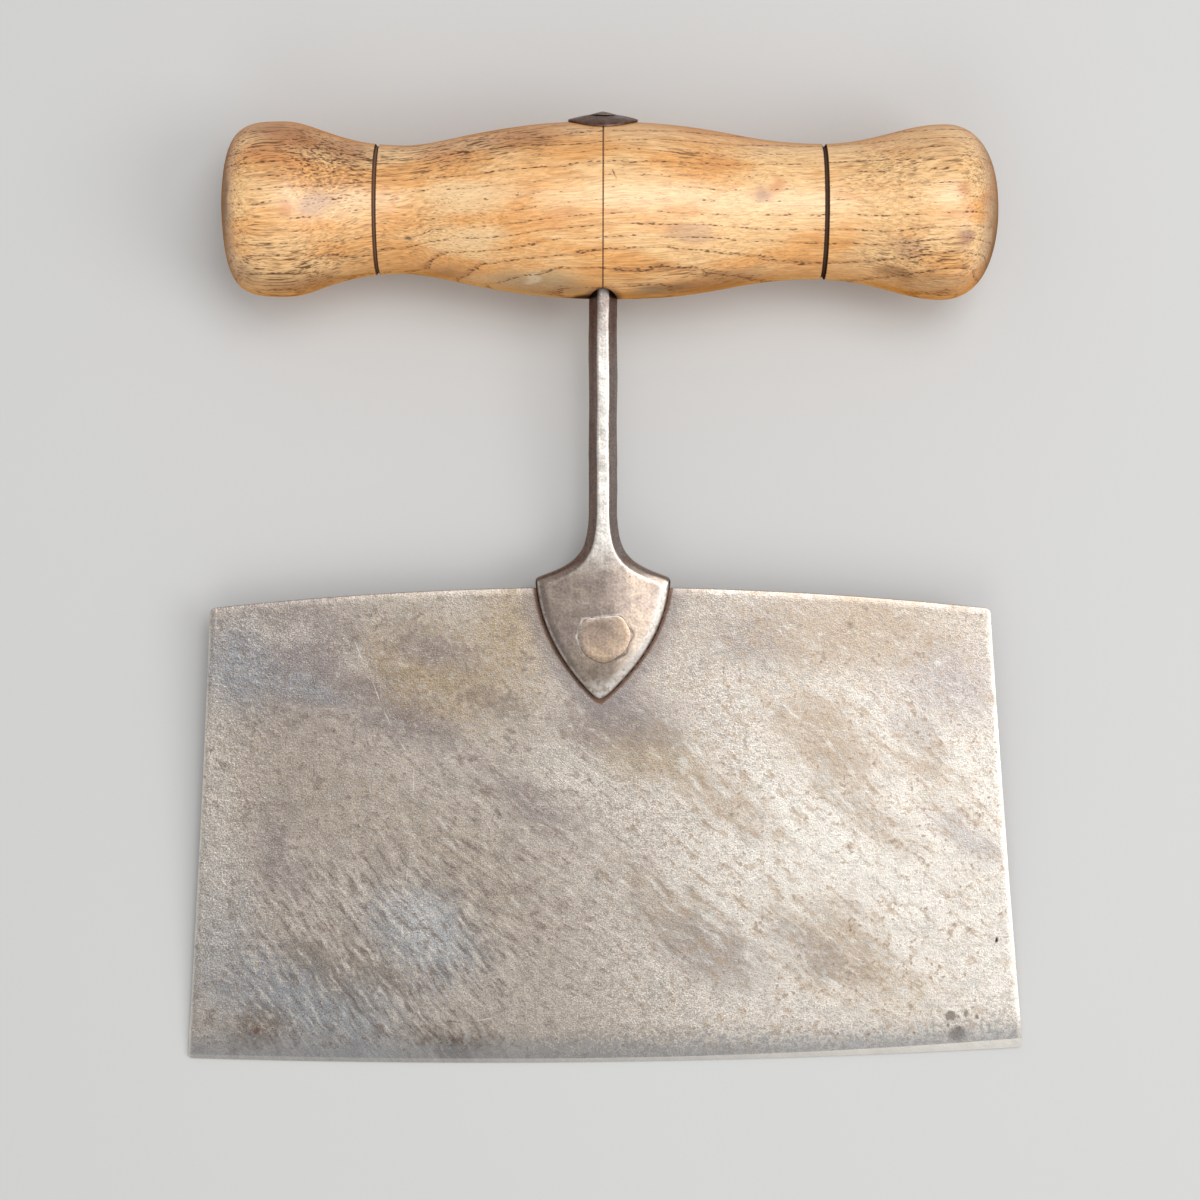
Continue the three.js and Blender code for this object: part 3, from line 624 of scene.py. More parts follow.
def wornSteel():
    finish, surface, add = newFinish("worn carbon steel")
    tones = linearTones(steel["tones"])
    place = benchPlace(add, (0, 0, 0))
    drift = add("TexNoise", {"Vector": place, "Scale": 1 / steel["drift"], "Detail": 4.0, "Roughness": 0.55})
    offset = add("VectorMath", {0: drift.outputs["Color"], 1: (0.5, 0.5, 0.5)}, operation="SUBTRACT")
    warped = add("VectorMath", {0: offset, 1: (9, 9, 0), 2: place}, operation="MULTIPLY_ADD")

    # etched grit covers the plate, and tarnish lies on it in specks, in soft mottles and in smears that run
    # down to the right, the way the blade was wiped
    slightly = add("VectorMath", {0: offset, 1: (3, 3, 0), 2: place}, operation="MULTIPLY_ADD")
    wiped = 0.0
    for wipe in steel["wipes"]:
        wipePlace = add("Mapping", {"Vector": slightly, "Scale": wipe["size"],
                                    "Rotation": (0, 0, math.radians(wipe["lean"]))}, vector_type="TEXTURE")
        smear = add("TexNoise", {"Vector": wipePlace, "Scale": 1.0, "Detail": 5.0, "Roughness": 0.7})
        shift = add("Math", {0: smear, 1: 0.5}, operation="SUBTRACT")
        zone = roundBlot(add, place, wipe["at"], wipe["reach"])
        depth = add("MapRange", {"Value": zone, "From Max": 0.5,
                                 "To Min": wipe["least"], "To Max": wipe["most"]})
        wiped = add("Math", {0: shift, 1: depth, 2: wiped}, operation="MULTIPLY_ADD")
    speckle = add("TexNoise", {"Vector": place, "Scale": 1 / steel["speckle"], "Detail": 4.0,
                               "Roughness": 0.6})
    mottle = add("TexNoise", {"Vector": place, "Scale": 1 / steel["mottle"], "Detail": 5.0,
                              "Roughness": 0.65})
    grain = add("TexNoise", {"Vector": place, "Scale": 1 / steel["grain"], "Detail": 2.0, "Roughness": 0.5})
    specks = add("Math", {0: wiped, 1: 0.6, 2: speckle}, operation="MULTIPLY_ADD")
    ragged = add("MapRange", {"Value": specks, "To Min": -0.75, "To Max": 0.75})
    gritty = add("MapRange", {"Value": grain, "To Min": -0.4, "To Max": 0.4})
    ragged = add("Math", {0: ragged, 1: gritty}, operation="ADD")
    colour = softPatches(add, warped, linear(steel["base"]), steel["patches"], tones, ragged,
                         start=0.2, soft=0.7)
    hue = add("TexNoise", {"Vector": place, "Scale": 1 / steel["hue"], "Detail": 3.0})
    blotch = add("TexNoise", {"Vector": slightly, "Scale": 1 / steel["blotch"], "Detail": 4.0,
                              "Roughness": 0.6})
    blotch = add("Math", {0: mottle, 1: 0.6, 2: blotch}, operation="MULTIPLY_ADD")
    blotch = add("Math", {0: wiped, 1: 0.6, 2: blotch}, operation="MULTIPLY_ADD")
    drifted = add("Math", {0: mottle, 1: 0.5}, operation="SUBTRACT")
    clusters = add("Math", {0: drifted, 1: 0.8, 2: speckle}, operation="MULTIPLY_ADD")
    # the tarnish is grey-brown at the left, and only a fawn haze where the right is rubbed down
    across = add("SeparateXYZ", {"Vector": place}).outputs["X"]
    rightward = add("MapRange", {"Value": across, "From Min": -20.0, "From Max": 35.0},
                    interpolation_type="SMOOTHSTEP")
    dark = add("MixRGB", {"Fac": rightward, "Color1": tones["taupe"], "Color2": tones["fawn"]})
    light = add("MixRGB", {"Fac": rightward, "Color1": tones["pale"], "Color2": tones["worn"]})
    layers = [
        (hue, 0.52, 0.74, 0.4, tones["straw"]),
        (hue, 0.48, 0.26, 0.34, tones["lilac"]),
        (blotch, 0.82, 1.02, 0.6, dark),
        (blotch, 0.76, 0.54, 0.4, light),
        (specks, 0.55, 0.74, 0.55, dark),
        (specks, 0.45, 0.26, 0.4, light),
        (clusters, 0.58, 0.72, 0.55, tones["taupe"]),
        (wiped, 0.04, 0.2, 0.45, dark),
        (wiped, -0.04, -0.2, 0.42, light),
    ]
    for noise, low, high, share, tone in layers:
        mask = add("MapRange", {"Value": noise, "From Min": low, "From Max": high, "To Max": share},
                   interpolation_type="SMOOTHSTEP")
        colour = add("MixRGB", {"Fac": mask, "Color1": colour, "Color2": tone})
    # the grit is deepest at the left and rubbed down at the right: the shades of its low and high places at
    # the two ends
    graded = [
        (mottle, (0.82, 0.87), (1.14, 1.1)),
        (speckle, (0.84, 0.88), (1.15, 1.09)),
        (grain, (0.6, 0.84), (1.38, 1.13)),
    ]
    for noise, *shades in graded:
        low, high = [add("MapRange", {"Value": across, "From Min": -60.0, "From Max": 40.0,
                                      "To Min": left, "To Max": right}) for left, right in shades]
        colour = shaded(add, colour, noise, low, high)
    colour = pitted(add, colour, place, mottle, steel["pits"], tones["pit"])

    # rust spots and scratches
    spotRagged = add("MapRange", {"Value": speckle, "From Min": 0.3, "From Max": 0.7,
                                  "To Min": -0.25, "To Max": 0.25})
    colour = softPatches(add, place, colour, steel["spots"], tones, spotRagged, start=0.3)
    waved = add("VectorMath", {0: offset, 1: (1.5, 1.5, 0), 2: place}, operation="MULTIPLY_ADD")
    for start, stop, tone in steel["scratches"]:
        run = Vector(stop) - Vector(start)
        middle = (Vector(start) + Vector(stop)) / 2
        scratch = steel["scratch"]
        reach = (run.length / 2 + scratch["past"], scratch["half"], scratch["depth"])
        line = roundBlot(add, waved, middle.to_3d(), reach, math.degrees(math.atan2(run.y, run.x)))
        broken = add("Math", {0: line, 1: spotRagged}, operation="ADD")
        share = add("MapRange", {"Value": broken, "From Min": 0.3, "From Max": 0.7, "To Max": 0.5})
        colour = add("MixRGB", {"Fac": share, "Color1": colour, "Color2": tones[tone]})

    # the plum stain round the palm, which is also its painted shadow, the rust at its outline with painted
    # contact shadow, a darker strip above the cutting bevel, and the sides rubbed bright
    noises = {"mottle": mottle, "speckle": speckle, "specks": specks}
    shares = {}
    for mark in steel["outlined"]:
        gap = add("Attribute", {}, attribute_name=mark["gap"]).outputs["Fac"]
        low, high = mark["spread"]
        swing = add("MapRange", {"Value": noises[mark["noise"]], "From Min": low, "From Max": high,
                                 "To Min": -mark["swing"], "To Max": mark["swing"]})
        raggedGap = add("Math", {0: gap, 1: swing}, operation="ADD")
        share = add("MapRange", {"Value": raggedGap, "From Min": mark["fade"], "From Max": mark["full"],
                                 "To Max": mark["share"]}, interpolation_type="SMOOTHSTEP")
        colour = add("MixRGB", {"Fac": share, "Color1": colour, "Color2": tones[mark["tone"]]})
        shares[mark["tone"]] = share

    # the cutting bevel is honed bright, and painted brighter toward the right as a painted reflection of
    # light in front
    bevelTop = add("Attribute", {}, attribute_name="bevelGap").outputs["Fac"]
    bevelShare = add("MapRange", {"Value": across, "From Min": -40.0, "From Max": 60.0,
                                  "To Min": steel["bevelWear"][0], "To Max": steel["bevelWear"][1]})
    onBevel = add("MapRange", {"Value": bevelTop, "From Min": 0.1, "From Max": -0.05})
    bevelWorn = add("Math", {0: onBevel, 1: bevelShare}, operation="MULTIPLY")
    colour = add("MixRGB", {"Fac": bevelWorn, "Color1": colour, "Color2": tones["worn"]})

    metal = add("MapRange", {"Value": shares["rust"], "To Min": 1.0, "To Max": 0.3})
    rough = add("MapRange", {"Value": mottle, "From Min": 0.3, "From Max": 0.7, "To Min": 0.36,
                             "To Max": 0.52})
    # the left margin is coarsely etched
    margin = add("MapRange", {"Value": across, "From Min": -56.0, "From Max": -74.0, "To Min": 1.0,
                              "To Max": 2.6}, interpolation_type="SMOOTHSTEP")
    coarse = add("Math", {0: speckle, 1: margin}, operation="MULTIPLY")
    relief = add("Math", {0: grain, 1: 0.6, 2: coarse}, operation="MULTIPLY_ADD")
    bump = add("Bump", {"Height": relief, "Strength": 0.36, "Distance": 0.0002})
    wire(surface, {"Base Color": colour, "Metallic": metal, "Roughness": rough, "Normal": bump})
    return finish


# Forged wrought iron: fire-black scale turned brown in the facets, rubbed to grey steel on the front flats
# and along every ridge, with small pits where the scale was hammered in. The facets and the palm's face are
# painted lighter toward the right, as if lit from there, the ridges carry painted highlights and the
# crevices painted shade.
iron = {
    "tones": {
        "scale": "#806d64", "facet": "#978a84", "flat": "#a09184", "polish": "#e6e0d9", "cloud": "#8f8280",
        "rivet": "#b39c85", "pit": "#3a302a", "dirt": "#3d2a20", "rust": "#5f3626",
    },
    # mm, the clouds, the mottles, the breaks in the rubbed edges and the grit
    "clouds": 9.0,
    "mottle": 2.4,
    "breaks": 0.9,
    "grain": 0.45,
    "pits": {"spacing": 1.5, "from": 0.58, "full": 0.72, "reach": 0.2, "share": 0.4},
    "filed": (0.55, 9, 3),  # mm across, along and into a mark of the file
    "shankStart": (96.0, 106.0),  # where the palm's face turns into the polished shank
    "nearWood": (138.0, 152.0),  # where rust gathers below the handle
}


def forgedIron(name, faceLift, faceTone):
    finish, surface, add = newFinish(name)
    tones = linearTones(iron["tones"])
    place = benchPlace(add, (0, 0, 0))
    axes = add("SeparateXYZ", {"Vector": place})
    up = axes.outputs["Y"]
    front = (0, -math.sin(tilt), math.cos(tilt))
    normal = add("NewGeometry", {}).outputs["Normal"]
    facing = add("VectorMath", {0: normal, 1: front}, operation="DOT_PRODUCT").outputs["Value"]
    mottle = add("TexNoise", {"Vector": place, "Scale": 1 / iron["mottle"], "Detail": 5.0,
                              "Roughness": 0.62})
    cloud = add("TexNoise", {"Vector": place, "Scale": 1 / iron["clouds"], "Detail": 3.0})
    grain = add("TexNoise", {"Vector": place, "Scale": 1 / iron["grain"], "Detail": 3.0})
    # marks of the file and the rag run along the shank
    drawnPlace = add("Mapping", {"Vector": place, "Scale": iron["filed"]}, vector_type="TEXTURE")
    drawn = add("TexNoise", {"Vector": drawnPlace, "Scale": 1.0, "Detail": 3.0})
    flatShare = add("MapRange", {"Value": facing, "From Min": 0.76, "From Max": 0.985, "To Max": faceLift},
                    interpolation_type="SMOOTHSTEP")
    cloudShare = add("MapRange", {"Value": cloud, "From Min": 0.42, "From Max": 0.62, "To Max": 0.45},
                     interpolation_type="SMOOTHSTEP")
    face = add("MixRGB", {"Fac": cloudShare, "Color1": tones[faceTone], "Color2": tones["cloud"]})
    # the palm's face is painted lighter toward the right, as if lit from the right: painted light
    lean = add("MapRange", {"Value": axes.outputs["X"], "From Min": -1.0, "From Max": 7.0, "To Min": 0.97,
                            "To Max": 2.1}, interpolation_type="SMOOTHSTEP")
    face = add("MixRGB", {"Fac": 1.0, "Color1": face, "Color2": lean}, blend_type="MULTIPLY")
    low, high = iron["shankStart"]
    shankShare = add("MapRange", {"Value": up, "From Min": low, "From Max": high},
                     interpolation_type="SMOOTHSTEP")
    face = add("MixRGB", {"Fac": shankShare, "Color1": face, "Color2": tones["polish"]})
    # the facets are painted lighter toward the right, as if lit from the right: painted light
    lit = add("MapRange", {"Value": axes.outputs["X"], "From Min": -2.0, "From Max": 3.0})
    side = add("MixRGB", {"Fac": lit, "Color1": tones["scale"], "Color2": tones["facet"]})
    colour = add("MixRGB", {"Fac": flatShare, "Color1": side, "Color2": face})
    rustNoise = add("MapRange", {"Value": mottle, "From Min": 0.3, "From Max": 0.6, "To Min": 0.3})
    low, high = iron["nearWood"]
    nearWood = add("MapRange", {"Value": up, "From Min": low, "From Max": high, "To Max": 0.8})
    rust = add("Math", {0: rustNoise, 1: nearWood}, operation="MULTIPLY")
    colour = add("MixRGB", {"Fac": rust, "Color1": colour, "Color2": tones["rust"]})
    drawnDepth = add("MapRange", {"Value": shankShare, "To Min": 0.95, "To Max": 0.8})
    for noise, low, high in ((mottle, 0.86, 1.08), (grain, 0.78, 1.18), (drawn, drawnDepth, 1.1)):
        colour = shaded(add, colour, noise, low, high)
    # edges that rags have rubbed bright, with painted highlights, and crevices that hold dirt and painted
    # shade
    jagged = add("TexNoise", {"Vector": place, "Scale": 1 / iron["breaks"], "Detail": 4.0})
    broken = add("MapRange", {"Value": jagged, "From Min": 0.36, "From Max": 0.56, "To Min": 0.2})
    for mark, tone in (("rubbed", "polish"), ("crevice", "dirt")):
        worn = add("Attribute", {}, attribute_name=mark).outputs["Fac"]
        share = add("Math", {0: worn, 1: broken}, operation="MULTIPLY")
        colour = add("MixRGB", {"Fac": share, "Color1": colour, "Color2": tones[tone]})
    colour = pitted(add, colour, place, mottle, iron["pits"], tones["pit"])
    rough = add("MapRange", {"Value": mottle, "From Min": 0.3, "From Max": 0.7, "To Min": 0.33,
                             "To Max": 0.48})
    relief = add("Math", {0: grain, 1: 0.4, 2: mottle}, operation="MULTIPLY_ADD")
    bump = add("Bump", {"Height": relief, "Strength": 0.25, "Distance": 0.0002})
    wire(surface, {"Base Color": colour, "Metallic": 1.0, "Roughness": rough, "Normal": bump})
    return finish


# Handle: a stick turned between centres, with a swell in the middle and a bulb at each end.
# Each stop of the profile is a crest or a neck, kept level for a share of the run before and after it.
handle = {
    "cant": 0.25,  # degrees, the right end leans toward the blade
    "stops": [
        {"at": -61.3, "radius": 16.8, "before": 0.74, "after": 0.25},
        {"at": -38.3, "radius": 12.3, "before": 0.55, "after": 0.2},
        {"at": 0.0, "radius": 17.05, "before": 0.55, "after": 0.55},
        {"at": 42.0, "radius": 12.95, "before": 0.4, "after": 0.45},
        {"at": 65.8, "radius": 16.8, "before": 0.35, "after": 0.53},
    ],
    "ends": [{"at": -73.1, "face": 0.94}, {"at": 76.1, "face": 0.73}],
    "grooves": [  # two burnt with a wire, and the fine scribed line at the middle
        {"at": -43.4, "width": 0.8, "depth": 0.42, "burn": 0.95, "tone": "char", "rubbed": 0.42},
        {"at": 42.4, "width": 0.95, "depth": 0.5, "burn": 0.97, "tone": "scorch", "rubbed": 0.12},
        {"at": 0.0, "width": 0.26, "depth": 0.18, "burn": 0.8, "tone": "singe", "rubbed": 0.0},
    ],
    "curvePoints": 26,
    "groovePoints": 7,
    "grooveClear": 0.55,  # share of a groove's width either side that its own points take up
    "turnSteps": 150,
    "wear": 0.3,  # mm that hands have worn it out of true
    "wearSize": 20.0,
    # the tang's bore, and its mouth, which was burnt longer toward the front
    "seat": {"bore": 2.4, "mouth": (2.72, 6.1), "forward": 2.2, "depth": 3.35, "past": 1, "steps": (48, 64)},
}


def handleProfile():
    stops = handle["stops"]
    knots = [Vector((stop["at"], stop["radius"], 0)) for stop in stops]
    left, right = handle["ends"]
    ends = [Vector((end["at"], 0, 0)) for end in (left, right)]
    curves = [(ends[0], Vector((left["at"], left["face"] * knots[0].y, 0)),
               knots[0].lerp(Vector((left["at"], knots[0].y, 0)), stops[0]["before"]), knots[0])]
    for (here, start), (there, stop) in zip(zip(stops, knots), zip(stops[1:], knots[1:])):
        run = Vector((stop.x - start.x, 0, 0))
        curves.append((start, start + run * here["after"], stop - run * there["before"], stop))
    curves.append((knots[-1], knots[-1].lerp(Vector((right["at"], knots[-1].y, 0)), stops[-1]["after"]),
                   Vector((right["at"], right["face"] * knots[-1].y, 0)), ends[1]))
    points = [ends[0]]
    for curve in curves:
        points += interpolate_bezier(*curve, handle["curvePoints"])[1:]
    return points


def grooved(points, line):
    cut = []
    for k in range(-handle["groovePoints"], handle["groovePoints"] + 1):
        share = k / handle["groovePoints"]
        x = line["at"] + share * line["width"] / 2
        here, there = next(pair for pair in zip(points, points[1:]) if pair[1].x >= x)
        rim = here.lerp(there, (x - here.x) / (there.x - here.x))
        cut.append(Vector((x, rim.y - line["depth"] * (1 - share ** 2), 0)))
    kept = [point for point in points if abs(point.x - line["at"]) > line["width"] * handle["grooveClear"]]
    return sorted(kept + cut, key=lambda point: point.x)


def spunAboutShank(name, profile, steps):
    points = [Vector((radius, height, 0)) for radius, height in profile]
    piece = startVertex(name, points[0])
    drawThrough(points)
    spinRound(steps, (0, 1, 0), (0, 0, 0))
    return piece


def turnHandle():
    profile = handleProfile()
    for line in handle["grooves"]:
        profile = grooved(profile, line)
    piece = startVertex("turned_handle", profile[0])
    drawThrough(profile)
    spinRound(handle["turnSteps"], (1, 0, 0), (0, 0, 0))
    leaveEditMode()
    piece.rotation_euler.z = math.radians(-handle["cant"])
    piece.location.y = bench["reach"]
    bpy.ops.object.transform_apply(location=True, rotation=True, scale=False)
    shapeWith(piece, "DISPLACE", texture=clouds("hand wear", handle["wearSize"]), strength=handle["wear"])
    seat = handle["seat"]
    crest = handle["stops"][2]["radius"]
    mouth = bench["reach"] - crest - seat["past"]
    top = bench["reach"] + crest + seat["past"]
    deep = mouth + seat["depth"]
    boreSteps, mouthSteps = seat["steps"]
    bore = [(0, mouth), (seat["bore"], mouth), (seat["bore"], top), (0, top)]
    cutWith(piece, spunAboutShank("tang_bore", bore, boreSteps))
    burnt = spunAboutShank("burnt_mouth", [(0, mouth), (1, mouth), (1, deep), (0, deep)], mouthSteps)
    bpy.ops.transform.resize(value=(seat["mouth"][0], 1, seat["mouth"][1]), center_override=(0, 0, 0))
    bpy.ops.transform.translate(value=(0, 0, seat["forward"]))
    cutWith(piece, burnt)
    return piece


# Blade: a rolled plate cut to a shallow fan, ground thinner toward the edge and slightly wavy from use.
blade = {
    "height": 94.9,
    "thickness": 1.4,
    "edge": (-82.58, 83.5),  # where the cutting edge starts and ends
    "spine": (-77.0, 75.9),
    "spineRise": 4.2,
    "edgeBelly": 1.9,
    "edgeSkew": 1.1,  # uneven sharpening lifts the right end
    "sideHollow": 0.25,
    "cornerRound": 0.95,
    # thickness at the edge and over the bevel, and the height of the grind
    "grind": {"edge": 0.16, "bevel": 0.76, "top": 7.0},
    "bevel": (0.85, 1.9),  # height at the middle and at the right end
    "columns": 116,
    "rows": 58,
    "rim": 0.12,
    "rimAngle": 50,  # degrees, what counts as a sharp rim
    "rimStart": 3.0,  # mm above the edge, which stays sharp
    "rimWear": 0.3,  # mm less that the left side is rubbed than the right
    "near": 0.4,  # mm within which a point is on a row or a corner
    "waves": [(38.0, 0.3), (7.0, 0.05)],  # size and depth of dents left by use
    "waveFade": (14, 0.2),  # mm over which they grow from the edge up, and the share of that they wait
}


def edgeLine(x):
    left, right = blade["edge"]
    share = (2 * x - left - right) / (right - left)
    return blade["edgeBelly"] * share ** 2 + blade["edgeSkew"] * share


def spineLine(x):
    left, right = blade["spine"]
    share = (2 * x - left - right) / (right - left)
    return blade["height"] - blade["spineRise"] * share ** 2


def bladeSides(height):
    rise = height / (blade["height"] - blade["spineRise"])
    hollow = blade["sideHollow"] * 4 * rise * (1 - rise)
    left = blade["edge"][0] + (blade["spine"][0] - blade["edge"][0]) * rise + hollow
    right = blade["edge"][1] + (blade["spine"][1] - blade["edge"][1]) * rise - hollow
    return left, right


def bevelHeight(x):
    low, high = blade["bevel"]
    return low + (high - low) * max(x / blade["edge"][1], 0) ** 2


def groundThickness(place):
    height = max(place.y - edgeLine(place.x), 0)
    bevel, grind = bevelHeight(place.x), blade["grind"]
    if height < bevel:
        return grind["edge"] + (grind["bevel"] - grind["edge"]) * height / bevel
    share = min((height - bevel) / (grind["top"] - bevel), 1)
    return grind["bevel"] + (blade["thickness"] - grind["bevel"]) * share


def cutBlade():
    left, right = blade["edge"]
    stations = [left + (right - left) * k / blade["columns"] for k in range(blade["columns"] + 1)]
    piece = startVertex("worn_blade", Vector((left, edgeLine(left), 0)))
    drawThrough([Vector((x, edgeLine(x), 0)) for x in stations])
    bpy.ops.mesh.select_all(action="SELECT")
    # each row is drawn in toward the point where the two slanting sides would meet
    sideHeight = blade["height"] - blade["spineRise"]
    leftSlope = (blade["spine"][0] - left) / sideHeight
    rightSlope = (right - blade["spine"][1]) / sideHeight
    apexHeight = (right - left) / (leftSlope + rightSlope)
    apexX = left + leftSlope * apexHeight
    lower = 0
    for height in (blade["bevel"][0], blade["grind"]["top"]):
        raiseSelected(Vector((0, height - lower, 0)))
        narrowing = (apexHeight - height) / (apexHeight - lower)
        bpy.ops.transform.resize(value=(narrowing, 1, 1), center_override=(apexX, 0, 0))
        lower = height
    raiseSelected(Vector((0, blade["height"] - lower, 0)))
    # the bevel's row climbs to the right, the last row is bent to the arched spine, and rows are cut between
    tall = blade["height"] / 2
    rowLeft = left + leftSlope * lower
    rowRight = right - rightSlope * lower

    def fitRows(place):
        if place.y < tall:
            if abs(place.y - edgeLine(place.x) - blade["bevel"][0]) > blade["near"]:
                return place
            height = bevelHeight(place.x)
            narrowed = apexX + (place.x - apexX) * (apexHeight - height) / (apexHeight - blade["bevel"][0])
            return Vector((narrowed, edgeLine(place.x) + height, 0))
        start, stop = blade["spine"]
        x = start + (stop - start) * (place.x - rowLeft) / (rowRight - rowLeft)
        return Vector((x, spineLine(x), 0))

    nudge(piece, fitRows)
    pick(piece, "EDGE", lambda edge: edge.calc_length() > tall)
    bpy.ops.mesh.subdivide(number_cuts=blade["rows"])

    def hollowSides(place):
        rise = min(max(place.y / sideHeight, 0), 1)
        share = (place.x - left - leftSlope * place.y) / ((right - left) * (1 - place.y / apexHeight))
        return place - Vector((blade["sideHollow"] * 4 * rise * (1 - rise) * (2 * share - 1), 0, 0))

    nudge(piece, hollowSides)
    rows = ((blade["edge"], edgeLine), (blade["spine"], spineLine))
    corners = [Vector((x, line(x), 0)) for ends, line in rows for x in ends]
    pick(piece, "VERT",
         lambda vertex: min((vertex.co - corner).length for corner in corners) < blade["near"])
    bpy.ops.mesh.bevel(offset=blade["cornerRound"], segments=4, affect="VERTICES")
    bpy.ops.mesh.select_all(action="SELECT")
    bpy.ops.mesh.normals_make_consistent(inside=False)
    mesh = bmesh.from_edit_mesh(piece.data)
    mesh.faces.ensure_lookup_table()
    if mesh.faces[0].normal.z < 0:
        bpy.ops.mesh.flip_normals()
    shapeWith(piece, "SOLIDIFY", thickness=blade["thickness"], offset=-1.0)
    bpy.ops.object.mode_set(mode="EDIT")
    half = blade["thickness"] / 2

    def grindThin(place):
        share = groundThickness(place) / blade["thickness"]
        return Vector((place.x, place.y, -half + (place.z + half) * share))

    nudge(piece, grindThin)
    rimAngle = math.radians(blade["rimAngle"])
    pick(piece, "EDGE", lambda edge: len(edge.link_faces) == 2 and edge.calc_face_angle() > rimAngle
         and min(vertex.co.y - edgeLine(vertex.co.x) for vertex in edge.verts) > blade["rimStart"])
    bpy.ops.mesh.bevel(offset=blade["rim"], segments=2, affect="EDGES")
    # the waves die out toward the edge, where the blade lies on the table
    leaveEditMode()
    group = piece.vertex_groups.new(name="above_edge")
    run, delay = blade["waveFade"]
    for vertex in piece.data.vertices:
        group.add([vertex.index], min(max(vertex.co.y / run - delay, 0), 1), "REPLACE")
    for size, depth in blade["waves"]:
        shapeWith(piece, "DISPLACE", texture=clouds("plate waves", size), direction="Z", strength=depth,
                  vertex_group=group.name)
    return piece


def outlineGap(outline):
    # signed distance to an outline drawn anticlockwise, negative inside, and how far round it the nearest
    # point is
    tree = KDTree(len(outline))
    for k, point in enumerate(outline):
        tree.insert(point, k)
    tree.balance()

    def gap(place):
        flat = Vector((place.x, place.y, 0))
        nearest, k, reach = tree.find(flat)
        ahead = outline[(k + 1) % len(outline)] - outline[k - 1]
        outward = Vector((ahead.y, -ahead.x, 0))
        return math.copysign(reach, (flat - nearest).dot(outward)), k / len(outline)

    return gap


def markPoints(piece, marks):
    for name, mark in marks.items():
        values = piece.data.attributes.new(name, "FLOAT", "POINT").data
        for vertex in piece.data.vertices:
            values[vertex.index].value = mark(vertex.co)


def markGaps(piece, outline):
    # how far each point lies from the palm's outline, the sides, the edge and the bevel, for the steel's
    # stains and wear
    far = 20.0
    toPalm = outlineGap(outline)

    def palmGap(place):
        return toPalm(place)[0] if place.z > -blade["thickness"] / 2 else far

    def rimGap(place):
        low, high = bladeSides(place.y)
        return min(place.x - low + blade["rimWear"], high - place.x)

    def edgeGap(place):
        return place.y - edgeLine(place.x)

    def bevelGap(place):
        return edgeGap(place) - bevelHeight(place.x)

    markPoints(piece, {"palmGap": palmGap, "rimGap": rimGap, "edgeGap": edgeGap, "bevelGap": bevelGap})


# Forging: an eight-sided shank that spreads into a shield-shaped palm, seated on the blade's spine by a
# heel, and the rivet through palm and blade.
forging = {
    "half": 2.76,  # half the shank across its flats
    "chamfer": 1.7,
    "palmHalf": 13.3,
    "shoulder": 96.7,
    "tip": (-0.65, 72.2),
    "sideControl": (12.5, 83.2),
    "flareControls": ((4.55, 99.85), (2.7, 101.2)),
    "neck": 111.7,
    "top": 155.2,
    "shoulderRound": 0.6,
    "tipRound": 2.0,
    "tipThickness": 1.9,
    "slopeStart": 80.5,
    "spineSeat": 94.95,
    "heelTop": 108.9,
    "tang": 2.3,
    "wobble": {"depth": 0.07, "turn": 0.33, "start": 3},  # mm, radians a mm, steps before it is full
    "shankSteps": 14,
    "curveSteps": 26,
    "outlineSteps": 300,
    "tangSteps": 48,
    "tangLap": 2,  # mm that the tang starts inside the shank
    "clear": 3.3,  # mm round a corner that is kept free of points for its chamfers
    "voxel": 0.19,
    "pillow": (0.75, 0.35),  # how far the palm's wall and the middle of its chamfer are raised
    "pillowTop": 101.5,
    "pillowFade": 5,  # mm over which it dies out up the flare
    "pillowSpread": 0.036,  # share that the chamfer's middle is drawn out from the palm's middle
    "pillowMiddle": (0, 88, 0),
    "soften": 14,
    "crown": 0.55,  # mm that the palm's face falls from its middle to its sides
    "crownFade": 10,  # mm over which that dies out up the flare
    "cutters": {"low": 60, "back": -9, "front": 6, "halfWidth": 20},  # how far they reach
    "heel": {"leave": 4, "settle": 6, "lift": 0.2, "past": 0.05, "steps": 8},  # mm of its bend
    "tipPast": 2,
    "slopeGap": 0.01,
    "hammer": (4.5, 0.16),  # size and depth of hammer marks
}
rivet = {
    "at": (0.25, 85.0),
    "radius": 5.5,
    # degrees and reach of each corner of the head
    "corners": [(-138, 5.2), (-88, 5.2), (-32, 5.0), (9, 5.7), (55, 6.05), (136, 5.95), (176, 5.55)],
    "cornerRound": 1.5,
    "proud": 0.12,
    "rim": 0.3,
    "dish": 0.1,
    "lip": 0.14,
    "lipTurn": 0.35,
    "shank": 3.5,
    "tail": 4.5,
    "tailDepth": 0.8,
    "low": 0.4,  # where the head starts, inside the palm
    "rimSteps": ((0.4, 0.4), (0.7, 0.22)),  # shares of the rim that it is rounded by, across and down
    "dishRim": 0.9,
    "lipStart": 0.6,  # share of the radius where the lip starts to lift
    "lipHeight": 1.5,  # points above this belong to the lip
    "longEdge": 0.8,
    "edgeCuts": 5,
    "stemTop": 0.9,
    "stemSteps": 64,
    "tailRim": (0.15, 0.12),  # how the tail's rim is rounded, across and up
    "tailProud": (0.02, 0.06),  # at its rim and over its flat
    "tailFlat": 2.0,
}
